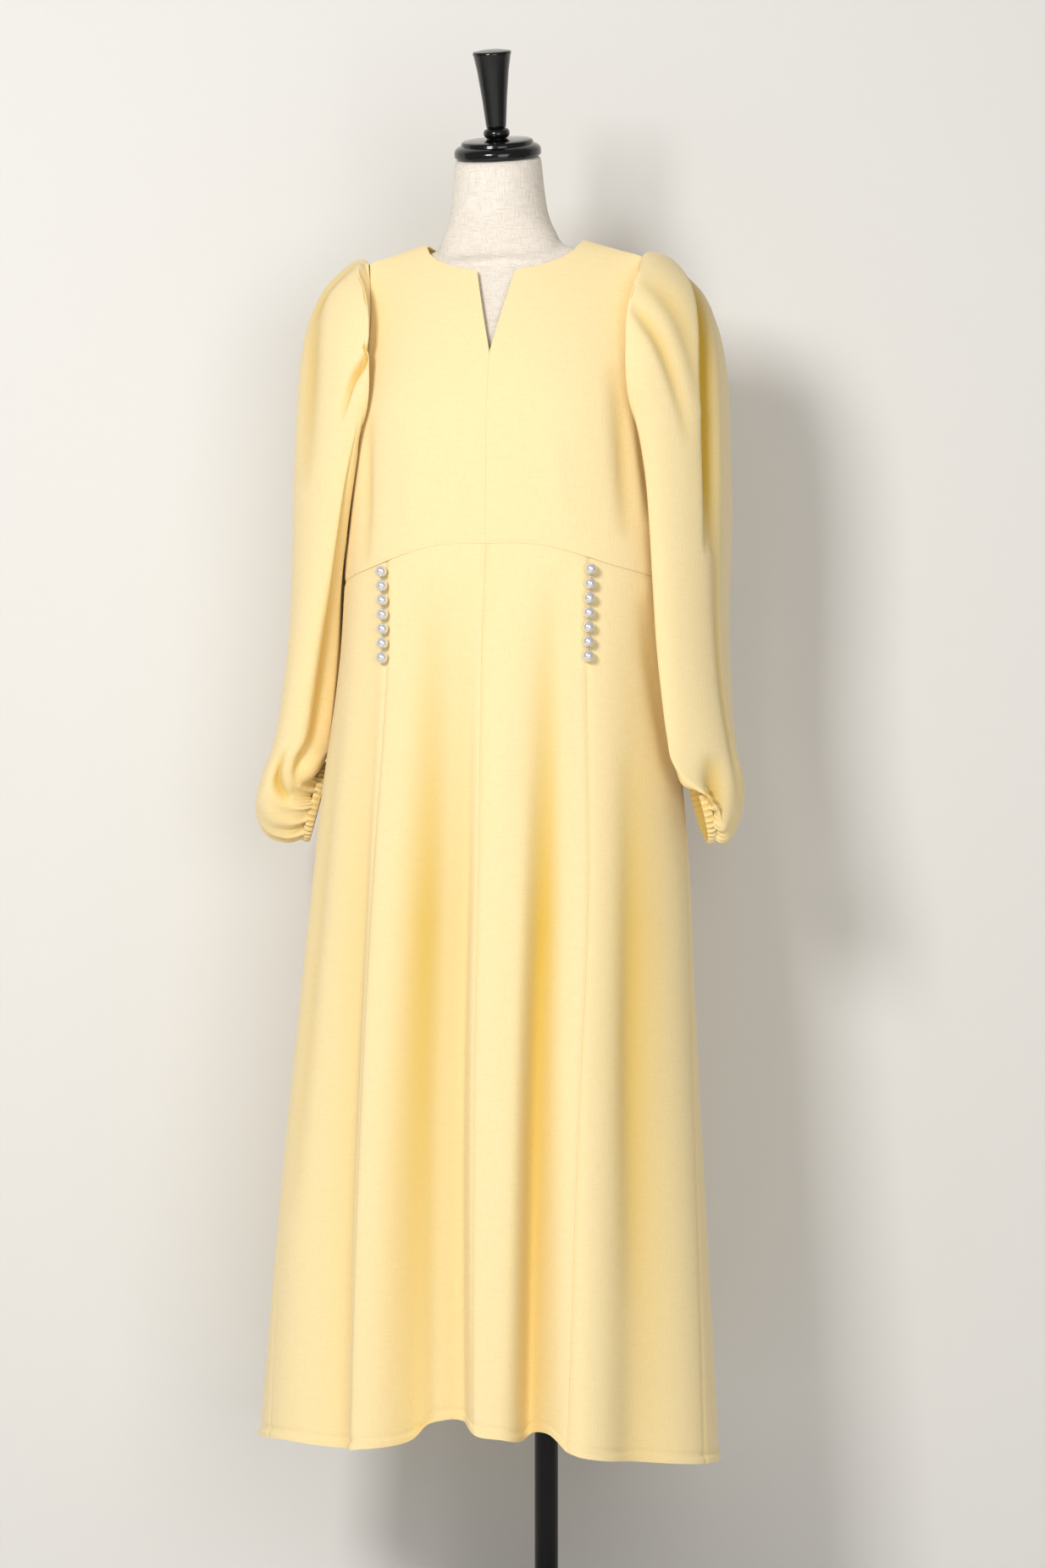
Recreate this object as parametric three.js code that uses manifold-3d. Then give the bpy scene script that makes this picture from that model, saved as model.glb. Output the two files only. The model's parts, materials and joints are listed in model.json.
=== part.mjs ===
// A long dress with balloon sleeves, worn by a limbless dress form on a round stand.
// Millimetres, +Z up. The front faces -Y, and left and right are the wearer's, so left is +X.
// The origin is on the floor, under the garment's centre plane.
import * as THREE from "three";
import { mergeVertices } from "three/addons/utils/BufferGeometryUtils.js";
import Module from "manifold-3d";

// ---- Driving dimensions ----
const CLOTH = 1.8; // wall of the double cloth
const SEAM_GAP = 0.3; // between two sewn pieces
const UNDERARM_Z = 1335;
const SHOULDER = { peakZ: 1558, slope: 0.306, y: -30, front: 1.5, back: 1.8 }; // the line they meet on
const SHOULDER_NECK = 85; // half widths of the shoulder seam's two ends
const SHOULDER_TIP = 146.5;
const SHOULDER_SEAM_DROP = 1; // how far under the line each panel ends
const SLIT = { bottomZ: 1411, topZ: 1496, halfGap: 20.5 };
const WAIST_FRONT_Z = 1209; // the waist seam at the centre front
const PEARL = { count: 7, radius: 6.2, pitch: 15.1, topZ: 1182, segments: 8, rings: 6 };
const FORM_CLEARANCE = 5; // between the dress form and the cloth
const POLE = { x: 32, y: 55, radius: 12.5, flangeRadius: 48, flangeHeight: 7 };
const BASE_HEIGHT = 22;
const FORM_BOTTOM_Z = 872;
const NECK_TOP_Z = 1620;

// Plan sections of the body, from shoulder to hem: half width, depth in front of and behind the centre,
// the centre's place, and how square the oval is.
const SECTIONS = [
  { z: 1520, side: 152, front: 116, back: 86, x: 5, y: 0, square: 2.4 },
  { z: 1420, side: 160, front: 118, back: 92, x: 5, y: 0, square: 2.4 },
  { z: 1330, side: 168, front: 119, back: 94, x: 4, y: 0, square: 2.4 },
  { z: 1209, side: 173, front: 111, back: 95, x: 1.5, y: 0, square: 2.35 },
  { z: 1090, side: 178, front: 114, back: 106, x: 0, y: -2, square: 2.3 },
  { z: 893, side: 199, front: 126, back: 132, x: -1, y: -14, square: 2.25 },
  { z: 668, side: 215, front: 140, back: 152, x: -4, y: -34, square: 2.2 },
  { z: 506, side: 227, front: 150, back: 166, x: -5, y: -45, square: 2.2 },
  { z: 260, side: 244, front: 162, back: 184, x: -6, y: -57, square: 2.2 },
];

// Height of the waist seam and of the hem round the body, by angle from the centre front.
const WAIST = [
  { angle: -180, z: 1176 },
  { angle: -90, z: 1171 },
  { angle: -62, z: 1184 },
  { angle: -40, z: 1201 },
  { angle: -25, z: 1208 },
  { angle: 0, z: WAIST_FRONT_Z },
  { angle: 25, z: 1208 },
  { angle: 40, z: 1201 },
  { angle: 62, z: 1184 },
  { angle: 90, z: 1171 },
  { angle: 180, z: 1176 },
];
const HEM = [
  { angle: -180, z: 266 },
  { angle: -90, z: 273 },
  { angle: -60, z: 284 },
  { angle: -44, z: 280 },
  { angle: -33, z: 284 },
  { angle: -22, z: 290 },
  { angle: -15, z: 307 },
  { angle: -5, z: 314 },
  { angle: 2, z: 311 },
  { angle: 8, z: 302 },
  { angle: 16, z: 299 },
  { angle: 26, z: 294 },
  { angle: 33, z: 303 },
  { angle: 37, z: 287 },
  { angle: 44, z: 280 },
  { angle: 57, z: 274 },
  { angle: 90, z: 261 },
  { angle: 180, z: 266 },
];

// Seams that run down the skirt, as the angle from the centre front at each height.
const SEAMS = [
  { z: 1209, centreFront: 0, frontLeft: 49.2, frontRight: -51, sideLeft: 90, sideRight: -90 },
  { z: 1090, centreFront: -0.8, frontLeft: 47.6, frontRight: -47.8, sideLeft: 89, sideRight: -89 },
  { z: 815, centreFront: 1.6, frontLeft: 45.5, frontRight: -45.5, sideLeft: 86, sideRight: -84 },
  { z: 560, centreFront: 4.2, frontLeft: 41, frontRight: -41, sideLeft: 83, sideRight: -76 },
  { z: 260, centreFront: 5.8, frontLeft: 37, frontRight: -37, sideLeft: 79, sideRight: -66 },
];

// Folds of the skirt, each a valley (minus) or ridge that grows towards the hem: its angle at the waist
// and at the hem, its depth at the hem, and its half width on either side in degrees.
const FOLDS = [
  { top: -72, hem: -62, depth: 6, before: 12, after: 10 },
  { top: -55, hem: -42.5, depth: -21, before: 9, after: 3.6 },
  { top: -46, hem: -34, depth: 8, before: 5, after: 9 },
  { top: -28, hem: -19, depth: -31, before: 8, after: 10 },
  { top: -9, hem: 0.8, depth: -33, before: 10, after: 4 },
  { top: 33, hem: 30, depth: -43, before: 8, after: 4.2 },
  { top: 50, hem: 41, depth: 9, before: 4, after: 10 },
  { top: 66, hem: 60, depth: -18, before: 9, after: 10 },
  { top: 112, hem: 108, depth: -16, before: 10, after: 9 },
  { top: 128, hem: 130, depth: 9, before: 10, after: 9 },
  { top: 148, hem: 152, depth: -22, before: 9, after: 9 },
  { top: 178, hem: 174, depth: 8, before: 9, after: 9 },
  { top: -156, hem: -161, depth: -20, before: 10, after: 9 },
  { top: -134, hem: -138, depth: 10, before: 9, after: 8 },
  { top: -116, hem: -114, depth: -18, before: 9, after: 10 },
];
const FOLDS_START_Z = 1190;
const FOLDS_FULL_Z = 260;
const FOLD_GROWTH = 1.15;

// Necklines and armholes of the bodice, as half width from its centre plane and height.
const FRONT_NECK = [
  { w: SLIT.halfGap, z: SLIT.topZ },
  { w: 36, z: 1499 },
  { w: 52, z: 1504 },
  { w: 66, z: 1510 },
  { w: 77, z: 1518.5 },
];
const BACK_NECK = [
  { w: 0, z: 1513 },
  { w: 24, z: 1513.5 },
  { w: 46, z: 1516 },
  { w: 64, z: 1520 },
  { w: 77, z: 1526 },
];
const FRONT_ARMHOLE = [
  { w: 143, z: 1486 },
  { w: 140, z: 1455 },
  { w: 140, z: 1422 },
  { w: 144, z: 1392 },
  { w: 151, z: 1366 },
  { w: 160, z: 1345 },
];
const BACK_ARMHOLE = [
  { w: 145, z: 1488 },
  { w: 144, z: 1458 },
  { w: 145, z: 1426 },
  { w: 149, z: 1394 },
  { w: 155, z: 1366 },
  { w: 162, z: 1345 },
];

// Rings of a sleeve below the armhole, from the head to the cuff: its outer and inner points in the
// front view, how far it reaches to the front and back, and how square it is.
const SLEEVE_RINGS = [
  { outX: 157, outZ: 1519, inX: 173.5, inZ: 1331, front: 70, back: 52, square: 2.2 },
  { outX: 172, outZ: 1515, inX: 175.5, inZ: 1326, front: 78, back: 62, square: 2.3 },
  { outX: 191, outZ: 1499, inX: 177, inZ: 1318, front: 84, back: 74, square: 2.4 },
  { outX: 207, outZ: 1478, inX: 178, inZ: 1308, front: 87, back: 84, square: 2.5 },
  { outX: 218, outZ: 1450, inX: 180, inZ: 1294, front: 88, back: 90, square: 2.5 },
  { outX: 226, outZ: 1410, inX: 181, inZ: 1274, front: 86, back: 93, square: 2.5 },
  { outX: 231, outZ: 1352, inX: 182, inZ: 1244, front: 83, back: 94, square: 2.5 },
  { outX: 234, outZ: 1276, inX: 183, inZ: 1204, front: 79, back: 93, square: 2.5 },
  { outX: 235, outZ: 1200, inX: 184, inZ: 1158, front: 75, back: 90, square: 2.5 },
  { outX: 237, outZ: 1128, inX: 188, inZ: 1104, front: 71, back: 86, square: 2.4 },
  { outX: 243, outZ: 1062, inX: 193, inZ: 1052, front: 68, back: 80, square: 2.3 },
  { outX: 253, outZ: 1006, inX: 199, inZ: 1012, front: 66, back: 74, square: 2.2 },
  { outX: 266, outZ: 962, inX: 204, inZ: 1002, front: 64, back: 66, square: 2.1 },
  { outX: 269, outZ: 930, inX: 207, inZ: 996, front: 58, back: 58, square: 2.1 },
  { outX: 260, outZ: 905, inX: 209.5, inZ: 991, front: 48, back: 47, square: 2 },
  { outX: 246, outZ: 898, inX: 210, inZ: 985.5, front: 38, back: 37, square: 2 },
  { outX: 233, outZ: 904, inX: 210, inZ: 980, front: 29, back: 29, square: 2 },
];

// By ring, for each sleeve: where its middle lies, how far its outside stands out, and how far its
// front end turns in to the body.
const SLEEVE_CENTRE_Y = [
  { ring: 0, left: -7, right: -7 },
  { ring: 3, left: -5, right: -6 },
  { ring: 5, left: -2.5, right: -4 },
  { ring: 7, left: 0.5, right: 2 },
  { ring: 8, left: 1.8, right: 8 },
  { ring: 10, left: -7, right: 17 },
  { ring: 12, left: -18, right: 22 },
  { ring: 14, left: -28, right: 24 },
  { ring: 16, left: -36, right: 24 },
];
const SLEEVE_SPREAD = [
  { ring: 0, left: -1.5, right: 1.5 },
  { ring: 4, left: -1.5, right: 1.5 },
  { ring: 7, left: -2, right: 0 },
  { ring: 9, left: -5, right: 1 },
  { ring: 11, left: -7, right: 4 },
  { ring: 12, left: -8, right: 8 },
  { ring: 13, left: -12, right: 11 },
  { ring: 14, left: -12, right: 9 },
  { ring: 15, left: -7, right: 2 },
  { ring: 16, left: -2, right: -3 },
];
const SLEEVE_TURN = [
  { ring: 0, left: 14, right: 14 },
  { ring: 1, left: 30, right: 32 },
  { ring: 2, left: 42, right: 50 },
  { ring: 3, left: 47, right: 58 },
  { ring: 4, left: 45, right: 54 },
  { ring: 5, left: 42, right: 50 },
  { ring: 6, left: 38, right: 42 },
  { ring: 7, left: 35, right: 33 },
  { ring: 8, left: 32, right: 22 },
  { ring: 9, left: 31, right: 12 },
  { ring: 10, left: 30, right: 6 },
  { ring: 11, left: 34, right: 3 },
  { ring: 12, left: 38, right: 1 },
  { ring: 13, left: 22, right: 0 },
  { ring: 14, left: 5, right: 0 },
  { ring: 16, left: 0, right: 0 },
];
const SLEEVE_COLUMNS = 32;

// How far the sleeve's end is turned about an upright line, by ring: plus opens its cuff to the front.
const SLEEVE_TWIST = [
  { ring: 10, left: 0, right: 0 },
  { ring: 13, left: 9, right: -6 },
  { ring: 16, left: 18, right: -14 },
];

// The least distance between a sleeve and the dress's body, by ring.
const SLEEVE_CLEARANCE = [
  { ring: 0, gap: 1.5 },
  { ring: 2, gap: 4 },
  { ring: 16, gap: 4 },
];
const TURN_BEHIND = 0.12; // how far the back of a sleeve swings out, as a share of its front's turn in
const ARMHOLE_SAMPLES = 256;
const ARMHOLE_STRETCH = 1.25; // evens out the columns round the armhole, which is taller than deep

// Creases of the sleeves: the angle round one from the outside towards the front, depth and half width,
// between two rings with the place of its greatest depth.
const SLEEVE_CREASES = {
  left: [
    { angle: 24, depth: -12, width: 11, from: 1, deepest: 4, to: 8 },
    { angle: 58, depth: -5, width: 8, from: 1, deepest: 3, to: 6.5 },
    { angle: 142, depth: -7, width: 11, from: 1, deepest: 4, to: 8 },
    { angle: 172, depth: 5, width: 14, from: 5, deepest: 9, to: 14 },
    { angle: 296, depth: -8, width: 12, from: 1, deepest: 4, to: 8 },
    { angle: 238, depth: -6, width: 14, from: 4, deepest: 8, to: 13 },
    { angle: 66, depth: -8, width: 10, from: 10.5, deepest: 13, to: 15 },
    { angle: 300, depth: -8, width: 11, from: 11, deepest: 13, to: 15.5 },
  ],
  right: [
    { angle: 84, depth: -6, width: 7, from: 1, deepest: 3, to: 5.5 },
    { angle: 38, depth: -4, width: 12, from: 2, deepest: 5, to: 8 },
    { angle: 142, depth: 8, width: 20, from: 4, deepest: 9, to: 14 },
    { angle: 296, depth: -8, width: 12, from: 1, deepest: 4, to: 8 },
    { angle: 236, depth: -6, width: 14, from: 4, deepest: 8, to: 13 },
    { angle: 86, depth: -8, width: 10, from: 11, deepest: 13, to: 15 },
    { angle: 300, depth: -8, width: 11, from: 11, deepest: 13, to: 15.5 },
  ],
};
const GATHERS = { waves: 16, height: 1.5, rings: 3 };

// The cuff's casing: its ridges show less on its inside, and it bulges by a share halfway along.
const CUFF = {
  length: 9,
  wall: 2.4,
  bulge: 0.2,
  ridges: 26,
  ridgeHeight: 1.5,
  innerRidge: 0.4,
  columnsPerRidge: 3,
};

// The dress form's neck, from its cut top down into the shoulders: half width, depths, centre, and how
// many degrees its ring leans to the front.
const NECK = [
  { z: NECK_TOP_Z, side: 45.6, front: 45.6, back: 45.6, y: -42, tilt: 16 },
  { z: 1602, side: 47.2, front: 47, back: 47, y: -41, tilt: 13 },
  { z: 1582, side: 49, front: 48, back: 48.5, y: -39, tilt: 9 },
  { z: 1562, side: 51.5, front: 48.5, back: 51, y: -36, tilt: 5 },
  { z: 1548, side: 56, front: 48, back: 53, y: -33, tilt: 2 },
  { z: 1538, side: 62, front: 46, back: 53, y: -31, tilt: 0 },
  { z: 1512, side: 70, front: 38, back: 50, y: -30, tilt: 0 },
];

// Turned profiles as radius and height over the neck's slanted cut: the black neck cap with its bead,
// and the finial's cone.
const CAP_PROFILE = [
  { r: 0, z: 0.3 },
  { r: 44.6, z: 0.3 },
  { r: 45.8, z: 2 },
  { r: 45.8, z: 6.5 },
  { r: 44.4, z: 9.4 },
  { r: 41.4, z: 11.6 },
  { r: 38.6, z: 12.6 },
  { r: 38, z: 15.4 },
  { r: 35.6, z: 17 },
  { r: 28, z: 17.9 },
  { r: 14, z: 18.4 },
  { r: 10.4, z: 19 },
  { r: 13, z: 21.2 },
  { r: 14, z: 24.2 },
  { r: 13.2, z: 27.4 },
  { r: 10.2, z: 29.6 },
  { r: 0, z: 30 },
];
const FINIAL_PROFILE = [
  { r: 0, z: 30.3 },
  { r: 10, z: 30.3 },
  { r: 10.8, z: 34 },
  { r: 13.2, z: 60 },
  { r: 16.8, z: 90 },
  { r: 19.6, z: 105 },
  { r: 20.4, z: 107.4 },
  { r: 19.4, z: 109.4 },
  { r: 10, z: 111.2 },
  { r: 0, z: 111.8 },
];

const COLOURS = {
  cloth: { color: 0xf7e39c, roughness: 0.85, metalness: 0 },
  pearl: { color: 0xf1ece4, roughness: 0.22, metalness: 0 },
  linen: { color: 0xe9dfd2, roughness: 0.9, metalness: 0 },
  lacquer: { color: 0x0c0c0d, roughness: 0.15, metalness: 0 },
  metal: { color: 0x111113, roughness: 0.35, metalness: 0.4 },
};
const MATERIALS = Object.fromEntries(
  Object.entries(COLOURS).map(([name, finish]) => [name, new THREE.MeshStandardMaterial(finish)]),
);

// ---- Tables and small sums ----
const radians = THREE.MathUtils.degToRad;
const mix = THREE.MathUtils.lerp;
const spread = (count) => Array.from({ length: count + 1 }, (_, i) => i / count);

// A table's column at t, on a smooth curve through its rows, which run up or down the key.
function along(table, key, column, t) {
  const rows = table[0][key] < table[table.length - 1][key] ? table : [...table].reverse();
  const last = rows.length - 1;
  if (t <= rows[0][key]) return rows[0][column];
  if (t >= rows[last][key]) return rows[last][column];
  let i = 0;
  while (t > rows[i + 1][key]) i += 1;
  const step = rows[i + 1][key] - rows[i][key];
  const slope = (k) => {
    const a = rows[Math.max(k - 1, 0)];
    const b = rows[Math.min(k + 1, last)];
    return (b[column] - a[column]) / (b[key] - a[key]);
  };
  const s = (t - rows[i][key]) / step;
  const s2 = s * s;
  const s3 = s2 * s;
  return (
    (2 * s3 - 3 * s2 + 1) * rows[i][column] +
    (s3 - 2 * s2 + s) * step * slope(i) +
    (3 * s2 - 2 * s3) * rows[i + 1][column] +
    (s3 - s2) * step * slope(i + 1)
  );
}

// Radius of a flattened oval at an angle from its front.
function ovalRadius(section, angle) {
  const depth = Math.cos(angle) > 0 ? section.front : section.back;
  const across = Math.abs(Math.sin(angle)) / section.side;
  const through = Math.abs(Math.cos(angle)) / depth;
  return (across ** section.square + through ** section.square) ** (-1 / section.square);
}

// How far the folds of the skirt move the cloth out, at an angle in degrees and a height.
function foldOut(degrees, z) {
  const grown = THREE.MathUtils.clamp((FOLDS_START_Z - z) / (FOLDS_START_Z - FOLDS_FULL_Z), 0, 1);
  return FOLDS.reduce((sum, fold) => {
    const turn = degrees - mix(fold.top, fold.hem, grown);
    const off = ((turn + 540) % 360) - 180;
    const width = off < 0 ? fold.before : fold.after;
    return sum + fold.depth * grown ** FOLD_GROWTH * Math.exp(-((off / width) ** 2));
  }, 0);
}

const sectionAt = (z, inset) => ({
  side: along(SECTIONS, "z", "side", z) - inset,
  front: along(SECTIONS, "z", "front", z) - inset,
  back: along(SECTIONS, "z", "back", z) - inset,
  square: along(SECTIONS, "z", "square", z),
  x: along(SECTIONS, "z", "x", z),
  y: along(SECTIONS, "z", "y", z),
});
const shoulderZ = (w) => SHOULDER.peakZ - SHOULDER.slope * w;

// The share of a depth that is left at t of the way from the underarm to the shoulder line.
function closingShare(t, behind) {
  const round = behind ? SHOULDER.back : SHOULDER.front;
  return (1 - t ** round) ** (1 / round);
}

// A point of the dress's body at an angle in degrees from the centre front. Above the underarm,
// front and back close towards each other on the shoulder line.
function bodyPoint(degrees, z, inset = 0) {
  const angle = radians(degrees);
  const section = sectionAt(z, inset);
  const radius = ovalRadius(section, angle) + (inset ? 0 : foldOut(degrees, z));
  const w = radius * Math.sin(angle);
  let y = section.y - radius * Math.cos(angle);
  if (z > UNDERARM_Z) {
    const top = shoulderZ(Math.abs(w)) - inset;
    const t = Math.min((z - UNDERARM_Z) / (top - UNDERARM_Z), 1);
    y = SHOULDER.y - (SHOULDER.y - y) * closingShare(t, Math.cos(angle) < 0);
  }
  return new THREE.Vector3(section.x + w, y, z);
}

// The angle at which the body is w wide of its centre plane, in front (0 to 90) or behind (90 to 180).
function angleAt(w, z, behind, inset = 0) {
  const section = sectionAt(z, inset);
  let low = 0;
  let high = 90;
  for (let i = 0; i < 40; i += 1) {
    const middle = (low + high) / 2;
    const angle = radians(behind ? 180 - middle : middle);
    if (ovalRadius(section, angle) * Math.sin(angle) < w) low = middle;
    else high = middle;
  }
  return behind ? 180 - low : low;
}

// The way out of the body's surface at a point, from its slopes round and up.
function bodyNormal(degrees, z) {
  const turn = 0.4;
  const rise = 1.5;
  const round = bodyPoint(degrees + turn, z).sub(bodyPoint(degrees - turn, z));
  const up = bodyPoint(degrees, z + rise).sub(bodyPoint(degrees, z - rise));
  return round.cross(up).normalize();
}

// ---- Closed bodies from grids of points ----
function bodyOf(name, points, faces, material) {
  const flat = faces.flatMap((face) => face.flatMap((i) => points[i].toArray()));
  const volume = faces.reduce(
    (sum, [a, b, c]) => sum + points[a].dot(points[b].clone().cross(points[c])),
    0,
  );
  if (volume < 0) {
    for (let i = 0; i < flat.length; i += 9) {
      const second = flat.slice(i + 3, i + 6);
      flat.splice(i + 3, 6, ...flat.slice(i + 6, i + 9), ...second);
    }
  }
  const geometry = new THREE.BufferGeometry();
  geometry.setAttribute("position", new THREE.Float32BufferAttribute(flat, 3));
  geometry.computeVertexNormals();
  const mesh = new THREE.Mesh(geometry, material);
  mesh.name = name;
  return mesh;
}

// A cloth wall between an outer and an inner grid of points, closed along its edges. A round wall's
// last column joins its first.
function wall(name, outer, inner, round, material = MATERIALS.cloth) {
  const rows = outer.length;
  const columns = outer[0].length;
  const points = [...outer.flat(), ...inner.flat()];
  const at = (row, column, layer) => (layer * rows + row) * columns + (column % columns);
  const faces = [];
  const quad = (a, b, c, d) => faces.push([a, b, c], [a, c, d]);
  const spans = round ? columns : columns - 1;
  for (let i = 0; i < rows - 1; i += 1)
    for (let j = 0; j < spans; j += 1) {
      quad(at(i, j, 0), at(i, j + 1, 0), at(i + 1, j + 1, 0), at(i + 1, j, 0));
      quad(at(i, j, 1), at(i + 1, j, 1), at(i + 1, j + 1, 1), at(i, j + 1, 1));
    }
  for (let j = 0; j < spans; j += 1) {
    quad(at(0, j, 0), at(0, j, 1), at(0, j + 1, 1), at(0, j + 1, 0));
    quad(at(rows - 1, j, 0), at(rows - 1, j + 1, 0), at(rows - 1, j + 1, 1), at(rows - 1, j, 1));
  }
  if (!round)
    for (let i = 0; i < rows - 1; i += 1) {
      quad(at(i, 0, 0), at(i + 1, 0, 0), at(i + 1, 0, 1), at(i, 0, 1));
      quad(at(i, spans, 0), at(i, spans, 1), at(i + 1, spans, 1), at(i + 1, spans, 0));
    }
  return bodyOf(name, points, faces, material);
}

// A solid through rings of equal length, closed at both ends with a fan.
function loft(name, rings, material) {
  const columns = rings[0].length;
  const middle = (ring) =>
    ring.reduce((sum, p) => sum.add(p), new THREE.Vector3()).divideScalar(ring.length);
  const points = [...rings.flat(), middle(rings[0]), middle(rings[rings.length - 1])];
  const faces = [];
  const firstCap = rings.length * columns;
  const end = (rings.length - 1) * columns;
  for (let j = 0; j < columns; j += 1) {
    const next = (j + 1) % columns;
    for (let i = 0; i < end; i += columns) {
      faces.push([i + j, i + next, i + columns + next], [i + j, i + columns + next, i + columns + j]);
    }
    faces.push([next, j, firstCap], [end + j, end + next, firstCap + 1]);
  }
  return bodyOf(name, points, faces, material);
}

// A panel of the body: each grid place is an angle and a height, and the wall goes in from there.
function bodyPanel(name, places) {
  const outer = places.map((row) => row.map((p) => bodyPoint(p.degrees, p.z)));
  const inner = places.map((row, i) =>
    row.map((p, j) => outer[i][j].clone().addScaledVector(bodyNormal(p.degrees, p.z), -CLOTH)),
  );
  return wall(name, outer, inner, false);
}

// Moves a place on the body round it by a distance in millimetres.
function besideSeam(degrees, z, distance) {
  const reach = bodyPoint(degrees + 0.5, z).distanceTo(bodyPoint(degrees - 0.5, z));
  return degrees + distance / reach;
}

const group = new THREE.Group();

// ---- Bodice ----
const SIDES = [
  { name: "left", sign: 1 },
  { name: "right", sign: -1 },
];
const HALF_GAP = SEAM_GAP / 2;
const waistZ = (degrees) => along(WAIST, "angle", "z", degrees);
const hemZ = (degrees) => along(HEM, "angle", "z", degrees);
const SLIT_ROW = 5;
const SLIT_SHARE = (SLIT.bottomZ - WAIST_FRONT_Z) / (SLIT.topZ - WAIST_FRONT_Z);
const BODICE_ROWS = [0, 0.14, 0.28, 0.42, 0.56, SLIT_SHARE, 0.8, 0.9, 1];
const COLUMN_CROWDING = 0.92; // under 1, a panel's columns at the waist move towards its side
const SHOULDER_SPANS = 3;

// The top edge of a bodice panel, from the neckline over the shoulder and down the armhole.
function bodiceTop(neck, armhole, behind) {
  const shoulder = spread(SHOULDER_SPANS)
    .map((u) => mix(SHOULDER_NECK, SHOULDER_TIP, u))
    .map((w) => ({ w, z: shoulderZ(w) - SHOULDER_SEAM_DROP }));
  const points = [...neck, ...shoulder, ...armhole].map(({ w, z }) => ({
    degrees: angleAt(w, z, behind),
    z,
  }));
  return [...points, { degrees: 90, z: UNDERARM_Z }];
}

function bodicePanel(name, sign, behind) {
  const top = bodiceTop(behind ? BACK_NECK : FRONT_NECK, behind ? BACK_ARMHOLE : FRONT_ARMHOLE, behind);
  const centre = behind ? 180 : 0;
  const last = top.length - 1;
  const places = BODICE_ROWS.map((v, i) =>
    top.map((edge, j) => {
      const bottomDegrees = mix(centre, 90, (j / last) ** COLUMN_CROWDING);
      const slit = Math.max(0, (v - SLIT_SHARE) / (1 - SLIT_SHARE));
      let degrees = mix(bottomDegrees, edge.degrees, v);
      if (!behind && j === 0) degrees = edge.degrees * slit;
      const z = mix(waistZ(bottomDegrees * sign) + HALF_GAP, edge.z, v);
      if (j === 0 && (behind || i <= SLIT_ROW)) {
        degrees = besideSeam(centre, z, behind ? -HALF_GAP : HALF_GAP);
      }
      if (j === last) degrees = besideSeam(90, z, behind ? HALF_GAP : -HALF_GAP);
      return { degrees: degrees * sign, z };
    }),
  );
  return bodyPanel(name, places);
}
for (const { name, sign } of SIDES) {
  group.add(bodicePanel(`bodice_front_${name}`, sign, false));
  group.add(bodicePanel(`bodice_back_${name}`, sign, true));
}

// ---- Skirt ----
const SKIRT_ROWS = [0, 0.05, 0.12, 0.2, 0.29, 0.39, 0.49, 0.59, 0.69, 0.79, 0.89, 1];
const seamAt = (seam, z) => {
  if (seam === "centreBackLeft") return 180;
  if (seam === "centreBackRight") return -180;
  return along(SEAMS, "z", seam, z);
};
const SKIRT_PANELS = [
  { name: "skirt_front_centre_left", from: "centreFront", to: "frontLeft", columns: 8 },
  { name: "skirt_front_side_left", from: "frontLeft", to: "sideLeft", columns: 6 },
  { name: "skirt_back_left", from: "sideLeft", to: "centreBackLeft", columns: 12 },
  { name: "skirt_front_centre_right", from: "frontRight", to: "centreFront", columns: 8 },
  { name: "skirt_front_side_right", from: "sideRight", to: "frontRight", columns: 6 },
  { name: "skirt_back_right", from: "centreBackRight", to: "sideRight", columns: 12 },
];

function skirtPanel({ name, from, to, columns }) {
  const places = SKIRT_ROWS.map((v) =>
    spread(columns).map((u) => {
      const topDegrees = mix(seamAt(from, WAIST_FRONT_Z), seamAt(to, WAIST_FRONT_Z), u);
      const hemDegrees = mix(seamAt(from, FOLDS_FULL_Z), seamAt(to, FOLDS_FULL_Z), u);
      const z = mix(waistZ(topDegrees) - HALF_GAP, hemZ(hemDegrees), v);
      let degrees = mix(seamAt(from, z), seamAt(to, z), u);
      if (u === 0) degrees = besideSeam(degrees, z, HALF_GAP);
      if (u === 1) degrees = besideSeam(degrees, z, -HALF_GAP);
      return { degrees, z };
    }),
  );
  return bodyPanel(name, places);
}
for (const panel of SKIRT_PANELS) group.add(skirtPanel(panel));

// ---- Sleeves ----
// The armhole seam as a ring that starts at the shoulder tip and goes round by the front.
function armholeRing(sign) {
  const tip = { w: SHOULDER_TIP, z: shoulderZ(SHOULDER_TIP) - 2 * SEAM_GAP };
  const half = (armhole, behind) =>
    armhole.map(({ w, z }) => bodyPoint(angleAt(w, z, behind) * sign, z));
  return new THREE.CatmullRomCurve3(
    [
      ...half([tip, ...FRONT_ARMHOLE], false),
      bodyPoint(90 * sign, UNDERARM_Z),
      ...half(BACK_ARMHOLE, true).reverse(),
    ],
    true,
  );
}

// How far a sleeve's creases move its cloth out.
function sleeveOut(name, angle, ring) {
  return SLEEVE_CREASES[name].reduce((sum, crease) => {
    if (ring <= crease.from || ring >= crease.to) return sum;
    const side = ring < crease.deepest ? crease.from : crease.to;
    const fade = Math.sin((Math.PI / 2) * ((ring - side) / (crease.deepest - side)));
    const off = ((angle - crease.angle + 540) % 360) - 180;
    return sum + crease.depth * fade * Math.exp(-((off / crease.width) ** 2));
  }, 0);
}

// The gathers into the cuff, raised on the outside of the cloth alone.
function gatherOut(angle, ring) {
  const left = SLEEVE_RINGS.length - 1 - ring;
  const gathered = Math.max(0, 1 - left / GATHERS.rings);
  return GATHERS.height * gathered * (1 + Math.cos(radians(angle * GATHERS.waves)));
}

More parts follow.
